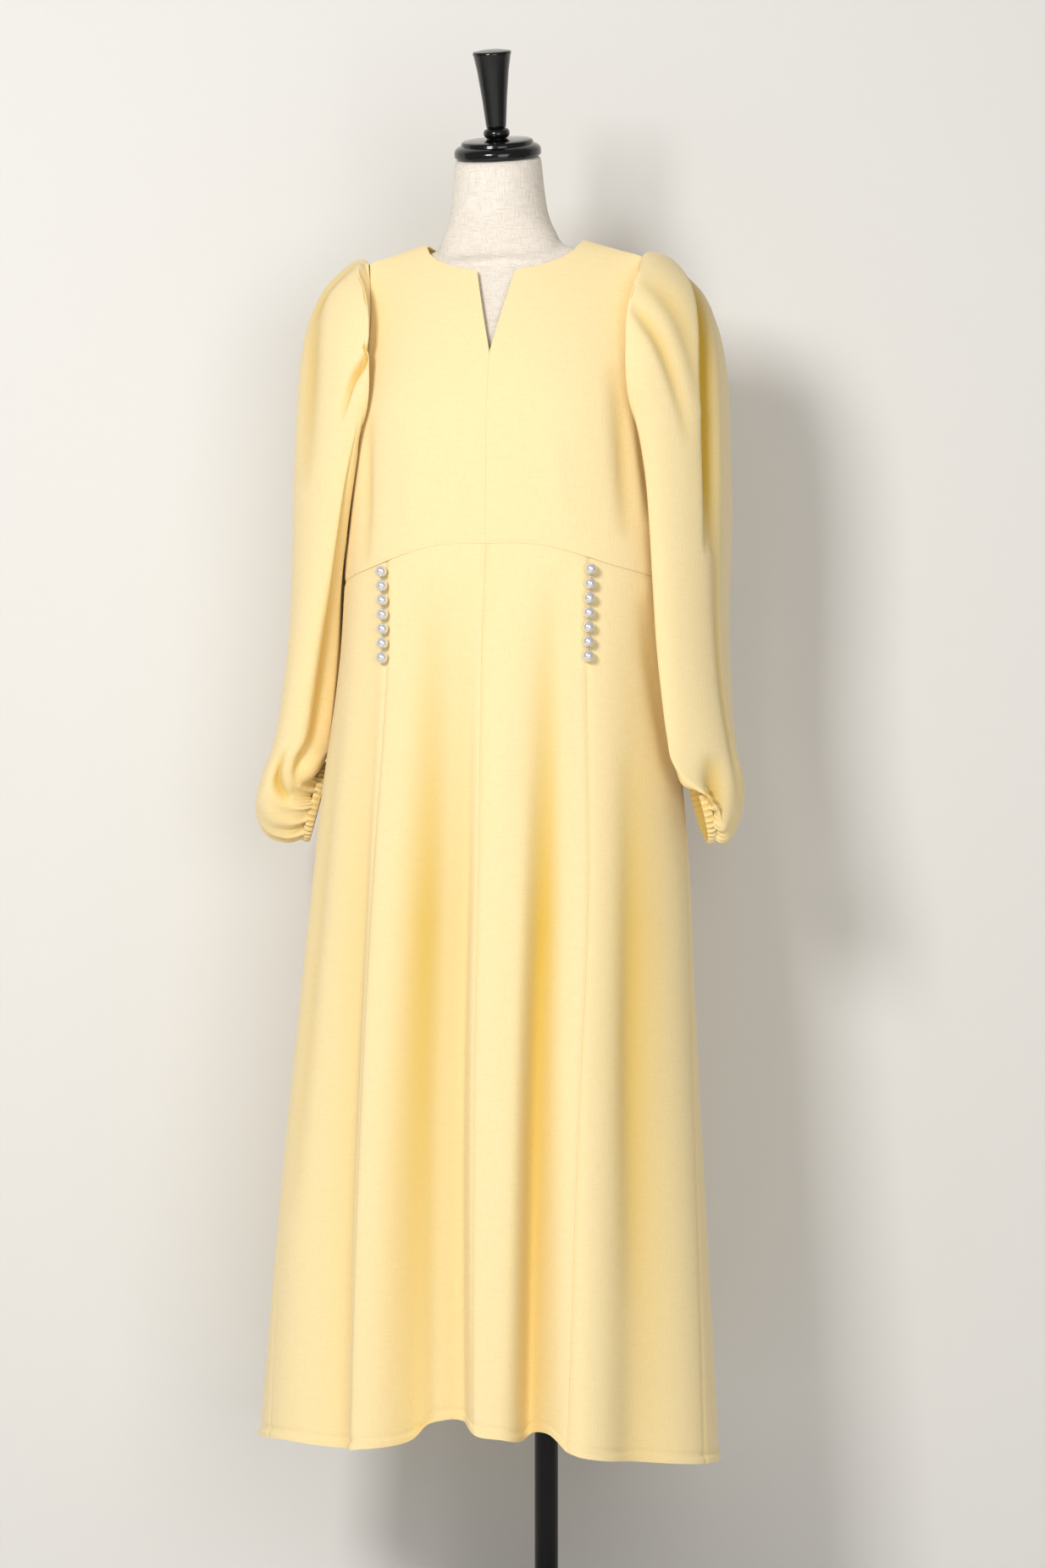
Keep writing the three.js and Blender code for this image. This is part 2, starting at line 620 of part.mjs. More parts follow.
// A point moved straight out from the body's middle until it is a distance clear of the dress.
function clearOfBody(point, sign, distance) {
  const middleX = along(SECTIONS, "z", "x", point.z);
  const turnOf = (p) => Math.atan2(sign * (p.x - middleX), SHOULDER.y - p.y);
  const wanted = turnOf(point);
  let low = 0;
  let high = 180;
  for (let i = 0; i < 24; i += 1) {
    const middle = (low + high) / 2;
    if (turnOf(bodyPoint(middle * sign, point.z)) < wanted) low = middle;
    else high = middle;
  }
  const body = bodyPoint(low * sign, point.z);
  const least = Math.hypot(body.x - middleX, body.y - SHOULDER.y) + distance;
  const reach = Math.hypot(point.x - middleX, point.y - SHOULDER.y);
  if (reach >= least) return point;
  const grown = least / reach;
  return new THREE.Vector3(
    middleX + (point.x - middleX) * grown,
    SHOULDER.y + (point.y - SHOULDER.y) * grown,
    point.z,
  );
}

// A place in a sleeve's end, outward and forward of its ring's middle, turned by the ring's twist.
function twisted(outward, forward, index, name) {
  const turn = radians(along(SLEEVE_TWIST, "ring", name, index));
  return {
    outward: outward * Math.cos(turn) + forward * Math.sin(turn),
    forward: forward * Math.cos(turn) - outward * Math.sin(turn),
  };
}

function sleeveRingPoint(row, index, angle, { name, sign }, gathers) {
  const turn = radians(angle);
  const middleZ = (row.outZ + row.inZ) / 2;
  const y = along(SLEEVE_CENTRE_Y, "ring", name, index);
  const out = along(SLEEVE_SPREAD, "ring", name, index);
  const half = { x: (row.outX + out - row.inX) / 2, z: (row.outZ - row.inZ) / 2 };
  const section = {
    side: Math.hypot(half.x, half.z),
    front: row.front,
    back: row.back,
    square: row.square,
  };
  // ovalRadius starts at the front, and a sleeve's angle at its outside.
  const raised = gathers ? gatherOut(angle, index) : 0;
  const radius = ovalRadius(section, Math.PI / 2 - turn) + sleeveOut(name, angle, index) + raised;
  const across = (radius * Math.cos(turn)) / section.side;
  const through = radius * Math.sin(turn);
  const share = through / row.front;
  const inward = along(SLEEVE_TURN, "ring", name, index) * share * share * (share > 0 ? 1 : -TURN_BEHIND);
  const place = twisted(half.x * across - inward, through, index, name);
  const x = (row.outX + out + row.inX) / 2 + place.outward;
  const centreX = along(SECTIONS, "z", "x", middleZ);
  const point = new THREE.Vector3(centreX + sign * x, y - place.forward, middleZ + half.z * across);
  return clearOfBody(point, sign, along(SLEEVE_CLEARANCE, "ring", "gap", index));
}

function gridNormals(grid) {
  const columns = grid[0].length;
  return grid.map((row, i) =>
    row.map((_, j) => {
      const down = grid[Math.min(i + 1, grid.length - 1)][j].clone().sub(grid[Math.max(i - 1, 0)][j]);
      const round = row[(j + 1) % columns].clone().sub(row[(j + columns - 1) % columns]);
      return down.cross(round).normalize();
    }),
  );
}

// The armhole ring's points, set out so that each meets the sleeve's column at the same angle.
function armholePoints(side) {
  const curve = armholeRing(side.sign);
  const samples = curve.getSpacedPoints(ARMHOLE_SAMPLES).slice(0, -1);
  const middle = samples.reduce((sum, p) => sum.add(p), new THREE.Vector3());
  middle.divideScalar(samples.length);
  const angleOf = (p) => Math.atan2((middle.y - p.y) * ARMHOLE_STRETCH, p.z - middle.z);
  return spread(SLEEVE_COLUMNS)
    .slice(0, -1)
    .map((u) => {
      const wanted = u * 2 * Math.PI;
      const off = (p) => Math.abs(Math.atan2(Math.sin(angleOf(p) - wanted), Math.cos(angleOf(p) - wanted)));
      const nearest = samples.reduce((best, p) => (off(p) < off(best) ? p : best));
      return nearest.clone().add(new THREE.Vector3(side.sign * (SEAM_GAP + CLOTH / 2), 0, 0));
    });
}

function sleeveGrid(side, gathers) {
  const angles = spread(SLEEVE_COLUMNS).slice(0, -1).map((u) => u * 360);
  const rings = SLEEVE_RINGS.map((row, i) =>
    angles.map((angle) => sleeveRingPoint(row, i, angle, side, gathers)),
  );
  return [armholePoints(side), ...rings];
}

function sleeve(side) {
  const outer = sleeveGrid(side, true);
  const plain = sleeveGrid(side, false);
  const normals = gridNormals(plain);
  const inner = plain.map((row, i) =>
    row.map((p, j) => p.clone().addScaledVector(normals[i][j], side.sign * CLOTH)),
  );
  return wall(`sleeve_${side.name}`, outer, inner, true);
}

// The cuff is a narrow elastic casing, ridged all round by its gathers.
function cuff(side) {
  const last = SLEEVE_RINGS.length - 1;
  const row = SLEEVE_RINGS[last];
  const columns = CUFF.ridges * CUFF.columnsPerRidge;
  const middleZ = (row.outZ + row.inZ) / 2;
  const y = along(SLEEVE_CENTRE_Y, "ring", side.name, last);
  const out = along(SLEEVE_SPREAD, "ring", side.name, last);
  const a = new THREE.Vector2(row.outX + out, row.outZ);
  const b = new THREE.Vector2(row.inX, row.inZ);
  const centre = a.clone().add(b).multiplyScalar(0.5);
  const half = a.clone().sub(b).multiplyScalar(0.5);
  const way = new THREE.Vector2(half.y, -half.x).normalize();
  const widest = Math.max(row.front, row.back);
  const centreX = along(SECTIONS, "z", "x", middleZ);
  const ring = (share, lift) =>
    spread(columns)
      .slice(0, -1)
      .map((u) => {
        const turn = u * 2 * Math.PI;
        const ridge = CUFF.ridgeHeight * Math.cos(turn * CUFF.ridges) * (lift ? 1 : CUFF.innerRidge);
        const grown = 1 + (lift + ridge) / widest;
        const travel = SEAM_GAP + share * CUFF.length;
        const outward = half.x * Math.cos(turn) * grown + way.x * travel;
        const place = twisted(outward, widest * Math.sin(turn) * grown, last, side.name);
        const z = centre.y + half.y * Math.cos(turn) * grown + way.y * travel;
        return new THREE.Vector3(centreX + side.sign * (centre.x + place.outward), y - place.forward, z);
      });
  const stations = [0, 0.5, 1];
  const outer = stations.map((s) => ring(s, CUFF.wall * (1 + CUFF.bulge * Math.sin(s * Math.PI))));
  const inner = stations.map((s) => ring(s, 0));
  return wall(`cuff_${side.name}`, outer, inner, true);
}
for (const side of SIDES) {
  group.add(sleeve(side));
  group.add(cuff(side));
}

// ---- Pearls, sewn over the tops of the two front seams ----
for (const { name, sign } of SIDES) {
  const seam = sign > 0 ? "frontLeft" : "frontRight";
  for (let i = 0; i < PEARL.count; i += 1) {
    const z = PEARL.topZ - i * PEARL.pitch;
    const degrees = seamAt(seam, z);
    const pearl = new THREE.Mesh(new THREE.SphereGeometry(PEARL.radius, PEARL.segments, PEARL.rings), MATERIALS.pearl);
    pearl.name = `pearl_${name}_${i + 1}`;
    pearl.position.copy(bodyPoint(degrees, z));
    pearl.position.addScaledVector(bodyNormal(degrees, z), PEARL.radius + 2 * SEAM_GAP);
    group.add(pearl);
  }
}

// ---- Dress form ----
const wasm = await Module();
wasm.setup();

function solidOf(mesh) {
  const bare = mesh.geometry.clone();
  bare.deleteAttribute("normal");
  bare.deleteAttribute("uv");
  const merged = mergeVertices(bare, 1e-3);
  return new wasm.Manifold(
    new wasm.Mesh({
      numProp: 3,
      vertProperties: merged.attributes.position.array,
      triVerts: new Uint32Array(merged.index.array),
    }),
  );
}

function meshOf(name, solid, material) {
  const { vertProperties, triVerts } = solid.getMesh();
  const geometry = new THREE.BufferGeometry();
  geometry.setAttribute("position", new THREE.BufferAttribute(vertProperties, 3));
  geometry.setIndex(new THREE.BufferAttribute(triVerts, 1));
  geometry.computeVertexNormals();
  const mesh = new THREE.Mesh(geometry, material);
  mesh.name = name;
  return mesh;
}

const FORM_HALF_COLUMNS = 12;
const SIDE_SHARE = 0.9999; // the widest point of a ring, just off its very side
const FORM_HEIGHTS = [FORM_BOTTOM_Z, 940, 1010, 1090, 1180, 1260, UNDERARM_Z];
const FORM_CLOSING = [0.25, 0.45, 0.62, 0.76, 0.88, 0.96, 1];
const FORM_SIZE = [
  { z: 1700, extra: 0 },
  { z: 1400, extra: 0 },
  { z: 1300, extra: 10 },
  { z: 1200, extra: 32 },
  { z: 1100, extra: 30 },
  { z: 1000, extra: 24 },
  { z: 860, extra: 26 },
];

// A ring of the form: columns at equal shares of the half width, in front and then behind.
function formRing(height, closing) {
  const shares = spread(FORM_HALF_COLUMNS).map((u) => Math.sin(mix(-Math.PI / 2, Math.PI / 2, u)));
  const inset = FORM_CLEARANCE + along(FORM_SIZE, "z", "extra", height);
  const point = (share, behind) => {
    const rough = mix(height, shoulderZ(Math.abs(share) * SHOULDER_TIP) - inset, closing);
    const section = sectionAt(rough, inset);
    const w = Math.abs(share) * section.side;
    const angle = radians(angleAt(w * SIDE_SHARE, rough, behind, inset));
    const flatY = section.y - ovalRadius(section, angle) * Math.cos(angle);
    const y = SHOULDER.y - (SHOULDER.y - flatY) * closingShare(closing, behind);
    const z = mix(height, shoulderZ(w) - inset, closing);
    return new THREE.Vector3(section.x + Math.sign(share) * w, y, z);
  };
  return [
    ...shares.map((share) => point(share, false)),
    ...shares.slice(1, -1).reverse().map((share) => point(share, true)),
  ];
}
const torsoRings = [
  ...FORM_HEIGHTS.map((z) => formRing(z, 0)),
  ...FORM_CLOSING.map((closing) => formRing(UNDERARM_Z, closing)),
];

// The torso closes on the shoulder line itself, so its last ring needs no cap.
function closedTorso(rings) {
  const columns = rings[0].length;
  const points = rings.flat();
  const bottom = points.length;
  points.push(new THREE.Vector3(0, 0, FORM_BOTTOM_Z));
  const faces = [];
  for (let j = 0; j < columns; j += 1) {
    const next = (j + 1) % columns;
    faces.push([next, j, bottom]);
    for (let i = 0; i < rings.length - 1; i += 1) {
      const low = i * columns;
      const high = low + columns;
      faces.push([low + j, low + next, high + next], [low + j, high + next, high + j]);
    }
  }
  return bodyOf("torso", points, faces, MATERIALS.linen);
}
const NECK_COLUMNS = 28;
const neckRings = NECK.map((row) =>
  spread(NECK_COLUMNS)
    .slice(0, -1)
    .map((u) => {
      const angle = u * 2 * Math.PI;
      const radius = ovalRadius({ ...row, square: 2 }, angle);
      const forward = radius * Math.cos(angle);
      return new THREE.Vector3(
        radius * Math.sin(angle),
        row.y - forward,
        row.z - forward * Math.tan(radians(row.tilt)),
      );
    }),
);
const formSolid = solidOf(closedTorso(torsoRings)).add(
  solidOf(loft("neck", neckRings, MATERIALS.linen)),
);
group.add(meshOf("form_body", formSolid, MATERIALS.linen));

// ---- Neck cap and finial, turned and lacquered ----
function turned(name, profile, segments, material) {
  const outline = profile.map(({ r, z }) => new THREE.Vector2(r, z));
  const mesh = new THREE.Mesh(new THREE.LatheGeometry(outline, segments), material);
  mesh.name = name;
  mesh.rotation.x = Math.PI / 2;
  return mesh;
}
const finial = new THREE.Group();
finial.position.set(0, NECK[0].y, NECK_TOP_Z);
finial.rotation.x = radians(NECK[0].tilt);
finial.add(turned("neck_cap", CAP_PROFILE, 28, MATERIALS.lacquer));
finial.add(turned("finial", FINIAL_PROFILE, 24, MATERIALS.lacquer));
group.add(finial);

// ---- Stand: the pole with its flange under the form, and the round base ----
const poleTop = FORM_BOTTOM_Z - SEAM_GAP;
const poleBottom = BASE_HEIGHT + SEAM_GAP;
const POLE_PROFILE = [
  { r: 0, z: poleBottom },
  { r: POLE.radius, z: poleBottom },
  { r: POLE.radius, z: poleTop - POLE.flangeHeight },
  { r: POLE.flangeRadius, z: poleTop - POLE.flangeHeight },
  { r: POLE.flangeRadius, z: poleTop },
  { r: 0, z: poleTop },
];
const BASE_PROFILE = [
  { r: 0, z: 0 },
  { r: 170.5, z: 0 },
  { r: 172, z: 1.5 },
  { r: 172, z: 8 },
  { r: 166, z: 13 },
  { r: 103, z: 19 },
  { r: 34, z: BASE_HEIGHT },
  { r: 0, z: BASE_HEIGHT },
];
const stand = new THREE.Group();
stand.position.set(POLE.x, POLE.y, 0);
stand.add(turned("pole", POLE_PROFILE, 24, MATERIALS.metal));
stand.add(turned("base", BASE_PROFILE, 40, MATERIALS.metal));
group.add(stand);

export default group;
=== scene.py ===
# A long pale yellow dress with balloon sleeves, on a limbless linen dress form with a lacquered
# neck cap. Lengths in the tables are millimetres, as a cutter writes them, and meshes are metres.
# The front faces -Y, and left and right are the wearer's, so left is +X.
import json
import math

import bpy
import numpy as np
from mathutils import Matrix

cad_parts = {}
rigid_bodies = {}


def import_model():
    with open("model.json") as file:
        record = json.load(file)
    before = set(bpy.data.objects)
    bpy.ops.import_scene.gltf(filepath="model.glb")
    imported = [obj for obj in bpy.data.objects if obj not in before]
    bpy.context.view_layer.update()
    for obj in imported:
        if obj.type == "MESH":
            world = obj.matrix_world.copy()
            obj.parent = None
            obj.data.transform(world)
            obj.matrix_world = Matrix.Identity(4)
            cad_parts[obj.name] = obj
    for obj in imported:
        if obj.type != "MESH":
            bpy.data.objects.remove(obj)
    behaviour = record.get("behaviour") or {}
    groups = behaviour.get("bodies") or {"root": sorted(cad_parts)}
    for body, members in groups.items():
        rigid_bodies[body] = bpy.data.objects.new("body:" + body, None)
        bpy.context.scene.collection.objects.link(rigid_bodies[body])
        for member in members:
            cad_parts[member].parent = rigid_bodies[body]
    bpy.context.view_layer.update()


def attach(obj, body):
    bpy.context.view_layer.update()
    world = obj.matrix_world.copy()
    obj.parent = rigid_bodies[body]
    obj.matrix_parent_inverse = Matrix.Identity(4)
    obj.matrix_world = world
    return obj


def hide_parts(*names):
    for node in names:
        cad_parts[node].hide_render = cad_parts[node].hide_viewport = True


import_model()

# ---- Studio ----
# A plain pale floor and a wall close behind the stand, with a large soft lamp to the left of the
# camera and a weak fill. The wall can be seen through from behind, so the back can be looked at.
scene = bpy.context.scene
scene.view_settings.view_transform = "Standard"

CAMERA_TURN = math.radians(12)  # the camera stands a little to the wearer's left
camera_right = np.array([math.cos(CAMERA_TURN), math.sin(CAMERA_TURN), 0.0])
camera_ahead = np.array([-math.sin(CAMERA_TURN), math.cos(CAMERA_TURN), 0.0])
CAMERA_DISTANCE = 4.2
CAMERA_HEIGHT = 0.96
VIEW_CENTRE = np.array([0.0167, 0.0036, CAMERA_HEIGHT])

camera = bpy.data.objects.new("camera", bpy.data.cameras.new("camera"))
camera.data.lens = 90.77
camera.data.sensor_width = 36
camera.location = VIEW_CENTRE - CAMERA_DISTANCE * camera_ahead
camera.rotation_euler = (math.pi / 2, 0, CAMERA_TURN)
scene.collection.objects.link(camera)
scene.camera = camera


def principled(name, color, roughness, **sockets):
    """A new material with one Principled shader, its plain values set on the shader itself."""
    material = bpy.data.materials.new(name)
    material.use_nodes = True
    shader = material.node_tree.nodes["Principled BSDF"]
    shader.inputs["Base Color"].default_value = (*color, 1)
    shader.inputs["Roughness"].default_value = roughness
    for socket, value in sockets.items():
        shader.inputs[socket.replace("_", " ")].default_value = value
    return material


def flat_sheet(name, corners, material):
    mesh = bpy.data.meshes.new(name)
    mesh.from_pydata(corners, [], [tuple(range(len(corners)))])
    mesh.materials.append(material)
    sheet = bpy.data.objects.new(name, mesh)
    scene.collection.objects.link(sheet)


FLOOR_HALF = 6.0
WALL_BEHIND = 0.27
WALL_HALF = 5.0
WALL_HEIGHT = 4.5
floor_paint = principled("floor paint", (0.74, 0.74, 0.73), 0.8)
floor_corners = [(-1, -1), (1, -1), (1, 1), (-1, 1)]
flat_sheet("floor", [(FLOOR_HALF * x, FLOOR_HALF * y, 0) for x, y in floor_corners], floor_paint)

wall_paint = principled("wall paint", (0.80, 0.79, 0.77), 0.9)
wall_nodes = wall_paint.node_tree.nodes
wall_links = wall_paint.node_tree.links
behind = wall_nodes.new("ShaderNodeNewGeometry")
clear = wall_nodes.new("ShaderNodeBsdfTransparent")
one_sided = wall_nodes.new("ShaderNodeMixShader")
wall_links.new(behind.outputs["Backfacing"], one_sided.inputs["Fac"])
wall_links.new(wall_nodes["Principled BSDF"].outputs[0], one_sided.inputs[1])
wall_links.new(clear.outputs[0], one_sided.inputs[2])
wall_links.new(one_sided.outputs[0], wall_nodes["Material Output"].inputs["Surface"])
wall_foot = WALL_BEHIND * camera_ahead
wall_left = wall_foot - WALL_HALF * camera_right
wall_right = wall_foot + WALL_HALF * camera_right
flat_sheet(
    "wall",
    [
        tuple(wall_left),
        tuple(wall_right),
        (wall_right[0], wall_right[1], WALL_HEIGHT),
        (wall_left[0], wall_left[1], WALL_HEIGHT),
    ],
    wall_paint,
)

AIM_HEIGHT = 1.0


def soft_lamp(name, left_of_camera, distance, height, size, watts, color):
    """A square area lamp, placed by its angle to the left of the camera and aimed at the dress."""
    turn = math.radians(left_of_camera)
    toward = -math.cos(turn) * camera_ahead - math.sin(turn) * camera_right
    lamp = bpy.data.objects.new(name, bpy.data.lights.new(name, "AREA"))
    lamp.data.size = size
    lamp.data.energy = watts
    lamp.data.color = color
    place = toward * distance + np.array([0, 0, height])
    lamp.location = place
    aim = np.array([0, 0, AIM_HEIGHT]) - place
    lamp.rotation_euler = (
        math.atan2(math.hypot(aim[0], aim[1]), -aim[2]),
        0,
        math.atan2(aim[1], aim[0]) - math.pi / 2,
    )
    scene.collection.objects.link(lamp)


LAMP_COLOR = (1.0, 0.985, 0.96)
soft_lamp("key lamp", left_of_camera=24, distance=3.2, height=2.2, size=0.8, watts=71, color=LAMP_COLOR)
soft_lamp("fill lamp", left_of_camera=-14, distance=4.0, height=1.3, size=1.8, watts=38, color=LAMP_COLOR)
sky = bpy.data.worlds.new("studio air")
sky.use_nodes = True
sky.node_tree.nodes["Background"].inputs["Color"].default_value = (1.0, 0.985, 0.965, 1)
sky.node_tree.nodes["Background"].inputs["Strength"].default_value = 0.265
scene.world = sky

# ---- Stand: base plate and pole ----
# A cast base with a domed top carries a steel pole, painted black, and the pole ends in a round
# flange that is screwed up under the form. All are turned on a lathe.
MM = 0.001
POLE_X = 32
POLE_Y = 55
BASE_OUTLINE = [(0, 0), (170.5, 0), (172, 1.5), (172, 8), (166, 13), (103, 19), (34, 22), (0, 22)]
POLE_OUTLINE = [
    (0, 22.3), (12.1, 22.3), (12.5, 23), (12.5, 864), (14, 864.7), (47.2, 864.7), (48, 865.5),
    (48, 870.8), (47.2, 871.7), (0, 871.7),
]


def piece_from(name, points, faces, material, smooth=True):
    """An object in the scene from points in millimetres."""
    mesh = bpy.data.meshes.new(name)
    mesh.from_pydata([tuple(p) for p in np.asarray(points) * MM], [], faces)
    mesh.materials.append(material)
    if smooth:
        mesh.shade_smooth()
    piece = bpy.data.objects.new(name, mesh)
    scene.collection.objects.link(piece)
    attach(piece, "root")
    return piece


TURNED_SHARP = math.radians(40)


def turned(name, outline, centre, material, steps=96, lean=0.0):
    """A closed body turned about an axis that may lean to the front, from radius and height."""
    rims = [(r, z) for r, z in outline if r > 0]
    angles = [2 * math.pi * j / steps for j in range(steps)]
    points = []
    for r, z in rims:
        for a in angles:
            y = r * math.sin(a)
            points.append(
                (
                    centre[0] + r * math.cos(a),
                    centre[1] + y * math.cos(lean) - z * math.sin(lean),
                    centre[2] + y * math.sin(lean) + z * math.cos(lean),
                )
            )
    faces = []
    for i in range(len(rims) - 1):
        for j in range(steps):
            k = (j + 1) % steps
            faces.append((i * steps + j, i * steps + k, (i + 1) * steps + k, (i + 1) * steps + j))
    faces.append(tuple(reversed(range(steps))))
    faces.append(tuple((len(rims) - 1) * steps + j for j in range(steps)))
    piece = piece_from(name, points, faces, material)
    piece.data.set_sharp_from_angle(angle=TURNED_SHARP)
    return piece


black_paint = principled("black paint", (0.006, 0.006, 0.0065), 0.42, Specular_IOR_Level=0.3)
for name, outline in {"base": BASE_OUTLINE, "pole": POLE_OUTLINE}.items():
    piece = turned(f"stand_{name}", outline, (POLE_X, POLE_Y, 0), black_paint)
    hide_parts(name)

# ---- Neck cap and finial ----
# Turned wood in two low tiers with a ball, and a cone that widens upwards, all in black lacquer
# with a wet shine. The cap covers the cut top of the form's neck.
NECK_TOP = (0, -42, 1620)
NECK_LEAN = math.radians(16)
CAP_OUTLINE = [
    (0, 0.3), (44.6, 0.3), (45.5, 1.1), (45.9, 3), (45.8, 6.5), (45.2, 8.4), (44, 10), (41.6, 11.7),
    (39.4, 12.4), (38.4, 12.9), (38.1, 14), (37.9, 15.4), (37.1, 16.5), (35.6, 17.2), (28, 17.9),
    (14, 18.4), (11, 18.7), (10.5, 19.3), (11.6, 20.2), (13.2, 21.8), (14, 24.2), (13.7, 26.4),
    (12.5, 28.4), (10.2, 29.7), (0, 30),
]
FINIAL_OUTLINE = [
    (0, 30.3), (9.9, 30.3), (10.4, 30.9), (10.8, 34), (13.2, 60), (16.8, 90), (19.6, 105.2), (20.3, 107),
    (20.2, 108.4), (19.2, 109.7), (10, 111.2), (0, 111.8),
]
lacquer = principled(
    "black lacquer",
    (0.004, 0.004, 0.0045),
    0.16,
    Specular_IOR_Level=0.35,
    Coat_Weight=0.3,
    Coat_Roughness=0.05,
)
for name, outline in {"neck_cap": CAP_OUTLINE, "finial": FINIAL_OUTLINE}.items():
    piece = turned(f"turned_{name}", outline, NECK_TOP, lacquer, steps=128, lean=NECK_LEAN)
    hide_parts(name)

# ---- Dress form ----
# A padded limbless torso with a neck, covered in natural linen that is drawn smooth over it. It
# stands clear of the dress.
FORM_VOXEL = 0.004
THREAD_STRETCH = 0.12  # a thread's texture along its length, against one across
THREAD_LOW = 0.45
THREAD_HIGH = 0.72
THREAD_RELIEF = 0.0004


def weave_group():
    """Threads crossing at right angles with slubs, as a height and a shade that vary over the cloth."""
    group = bpy.data.node_groups.new("thread weave", "ShaderNodeTree")
    group.interface.new_socket("Threads", in_out="INPUT", socket_type="NodeSocketFloat")
    group.interface.new_socket("Slub", in_out="INPUT", socket_type="NodeSocketFloat")
    group.interface.new_socket("Height", in_out="OUTPUT", socket_type="NodeSocketFloat")
    group.interface.new_socket("Shade", in_out="OUTPUT", socket_type="NodeSocketFloat")
    nodes = group.nodes
    links = group.links
    inside = nodes.new("NodeGroupInput")
    outside = nodes.new("NodeGroupOutput")
    place = nodes.new("ShaderNodeTexCoord")
    spun = []
    across = (THREAD_STRETCH, THREAD_STRETCH, 1.0)
    upward = (1.0, 1.0, THREAD_STRETCH)
    for along in (0, 1):
        stretch = nodes.new("ShaderNodeMapping")
        stretch.inputs["Scale"].default_value = across if along else upward
        links.new(place.outputs["Object"], stretch.inputs["Vector"])
        threads = nodes.new("ShaderNodeTexNoise")
        threads.inputs["Detail"].default_value = 3
        links.new(stretch.outputs[0], threads.inputs["Vector"])
        links.new(inside.outputs["Threads"], threads.inputs["Scale"])
        spun.append(threads)
    crossed = nodes.new("ShaderNodeMath")
    crossed.operation = "MAXIMUM"
    links.new(spun[0].outputs["Fac"], crossed.inputs[0])
    links.new(spun[1].outputs["Fac"], crossed.inputs[1])
    clearer = nodes.new("ShaderNodeMapRange")
    clearer.inputs["From Min"].default_value = THREAD_LOW
    clearer.inputs["From Max"].default_value = THREAD_HIGH
    links.new(crossed.outputs[0], clearer.inputs["Value"])
    links.new(clearer.outputs[0], outside.inputs["Height"])
    shade = nodes.new("ShaderNodeMath")
    shade.operation = "MULTIPLY"
    links.new(clearer.outputs[0], shade.inputs[0])
    links.new(inside.outputs["Slub"], shade.inputs[1])
    links.new(shade.outputs[0], outside.inputs["Shade"])
    return group


thread_weave = weave_group()


def woven(material, threads, slub, relief, second_color):
    """Gives a plain material crossing threads, in its colour and in its relief."""
    nodes = material.node_tree.nodes
    links = material.node_tree.links
    shader = nodes["Principled BSDF"]
    weave = nodes.new("ShaderNodeGroup")
    weave.node_tree = thread_weave
    weave.inputs["Threads"].default_value = threads
    weave.inputs["Slub"].default_value = slub
    tint = nodes.new("ShaderNodeMix")
    tint.data_type = "RGBA"
    tint.inputs[6].default_value = shader.inputs["Base Color"].default_value
    tint.inputs[7].default_value = (*second_color, 1)
    links.new(weave.outputs["Shade"], tint.inputs["Factor"])
    links.new(tint.outputs[2], shader.inputs["Base Color"])
    bump = nodes.new("ShaderNodeBump")
    bump.inputs["Strength"].default_value = relief
    bump.inputs["Distance"].default_value = THREAD_RELIEF
    links.new(weave.outputs["Height"], bump.inputs["Height"])
    links.new(bump.outputs[0], shader.inputs["Normal"])


linen = principled("natural linen", (0.85, 0.79, 0.715), 0.92, Sheen_Weight=0.1)
woven(linen, threads=640, slub=0.55, relief=0.6, second_color=(0.62, 0.54, 0.45))

form_solid = next(o for o in scene.objects if o.type == "MESH" and o.name.split(".")[0] == "form_body")
form = bpy.data.objects.new("linen_form", form_solid.data.copy())
scene.collection.objects.link(form)
form.data.materials.clear()
form.data.materials.append(linen)
fit = form.modifiers.new("skin", "REMESH")
fit.mode = "VOXEL"
fit.voxel_size = FORM_VOXEL
ease = form.modifiers.new("ease", "SMOOTH")
ease.factor = 0.6
ease.iterations = 9
skin = bpy.data.meshes.new_from_object(form.evaluated_get(bpy.context.evaluated_depsgraph_get()))
form.modifiers.clear()
form.data = skin
form.data.shade_smooth()
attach(form, "root")
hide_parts("form_body")

# ---- Dress body: the cut of bodice and skirt ----
# The dress is sewn in double crepe. Its body is an oval in plan at each height, and above the
# underarm the front and back curve in to the shoulder line, where their panels end a little short
# of each other. Folds fall down the skirt from the waist.
CLOTH = 1.8
SEAM_GAP = 0.3
PANEL_GAP = 0.12  # between panels that a fine seam joins
UNDERARM_Z = 1335
SHOULDER_PEAK_Z = 1558
SHOULDER_SLOPE = 0.306
SHOULDER_Y = -30
SHOULDER_ROUND_FRONT = 1.5
SHOULDER_ROUND_BACK = 1.8
PLAN_COLUMNS = ("z", "side", "front", "back", "x", "y", "square")
PLAN = [
    (1520, 152, 116, 86, 5, 0, 2.4),
    (1420, 160, 118, 92, 5, 0, 2.4),
    (1330, 168, 119, 94, 4, 0, 2.4),
    (1209, 173, 111, 95, 1.5, 0, 2.35),
    (1090, 178, 114, 106, 0, -2, 2.3),
    (893, 199, 126, 132, -1, -14, 2.25),
    (668, 215, 140, 152, -4, -34, 2.2),
    (506, 227, 150, 166, -5, -45, 2.2),
    (260, 244, 162, 184, -6, -57, 2.2),
]
WAIST = [
    (-180, 1176), (-90, 1171), (-62, 1184), (-40, 1201), (-25, 1208), (0, 1209), (25, 1208),
    (40, 1201), (62, 1184), (90, 1171), (180, 1176),
]
WAIST_FRONT_Z = 1209
HEM = [
    (-180, 266), (-90, 273), (-60, 284), (-44, 280), (-33, 284), (-22, 290), (-15, 307), (-5, 314),
    (2, 311), (8, 302), (16, 299), (26, 294), (33, 303), (37, 287), (44, 280), (57, 274), (90, 261),
    (180, 266),
]
SKIRT_FOLDS_START_Z = 1190
SKIRT_FOLDS_FULL_Z = 260
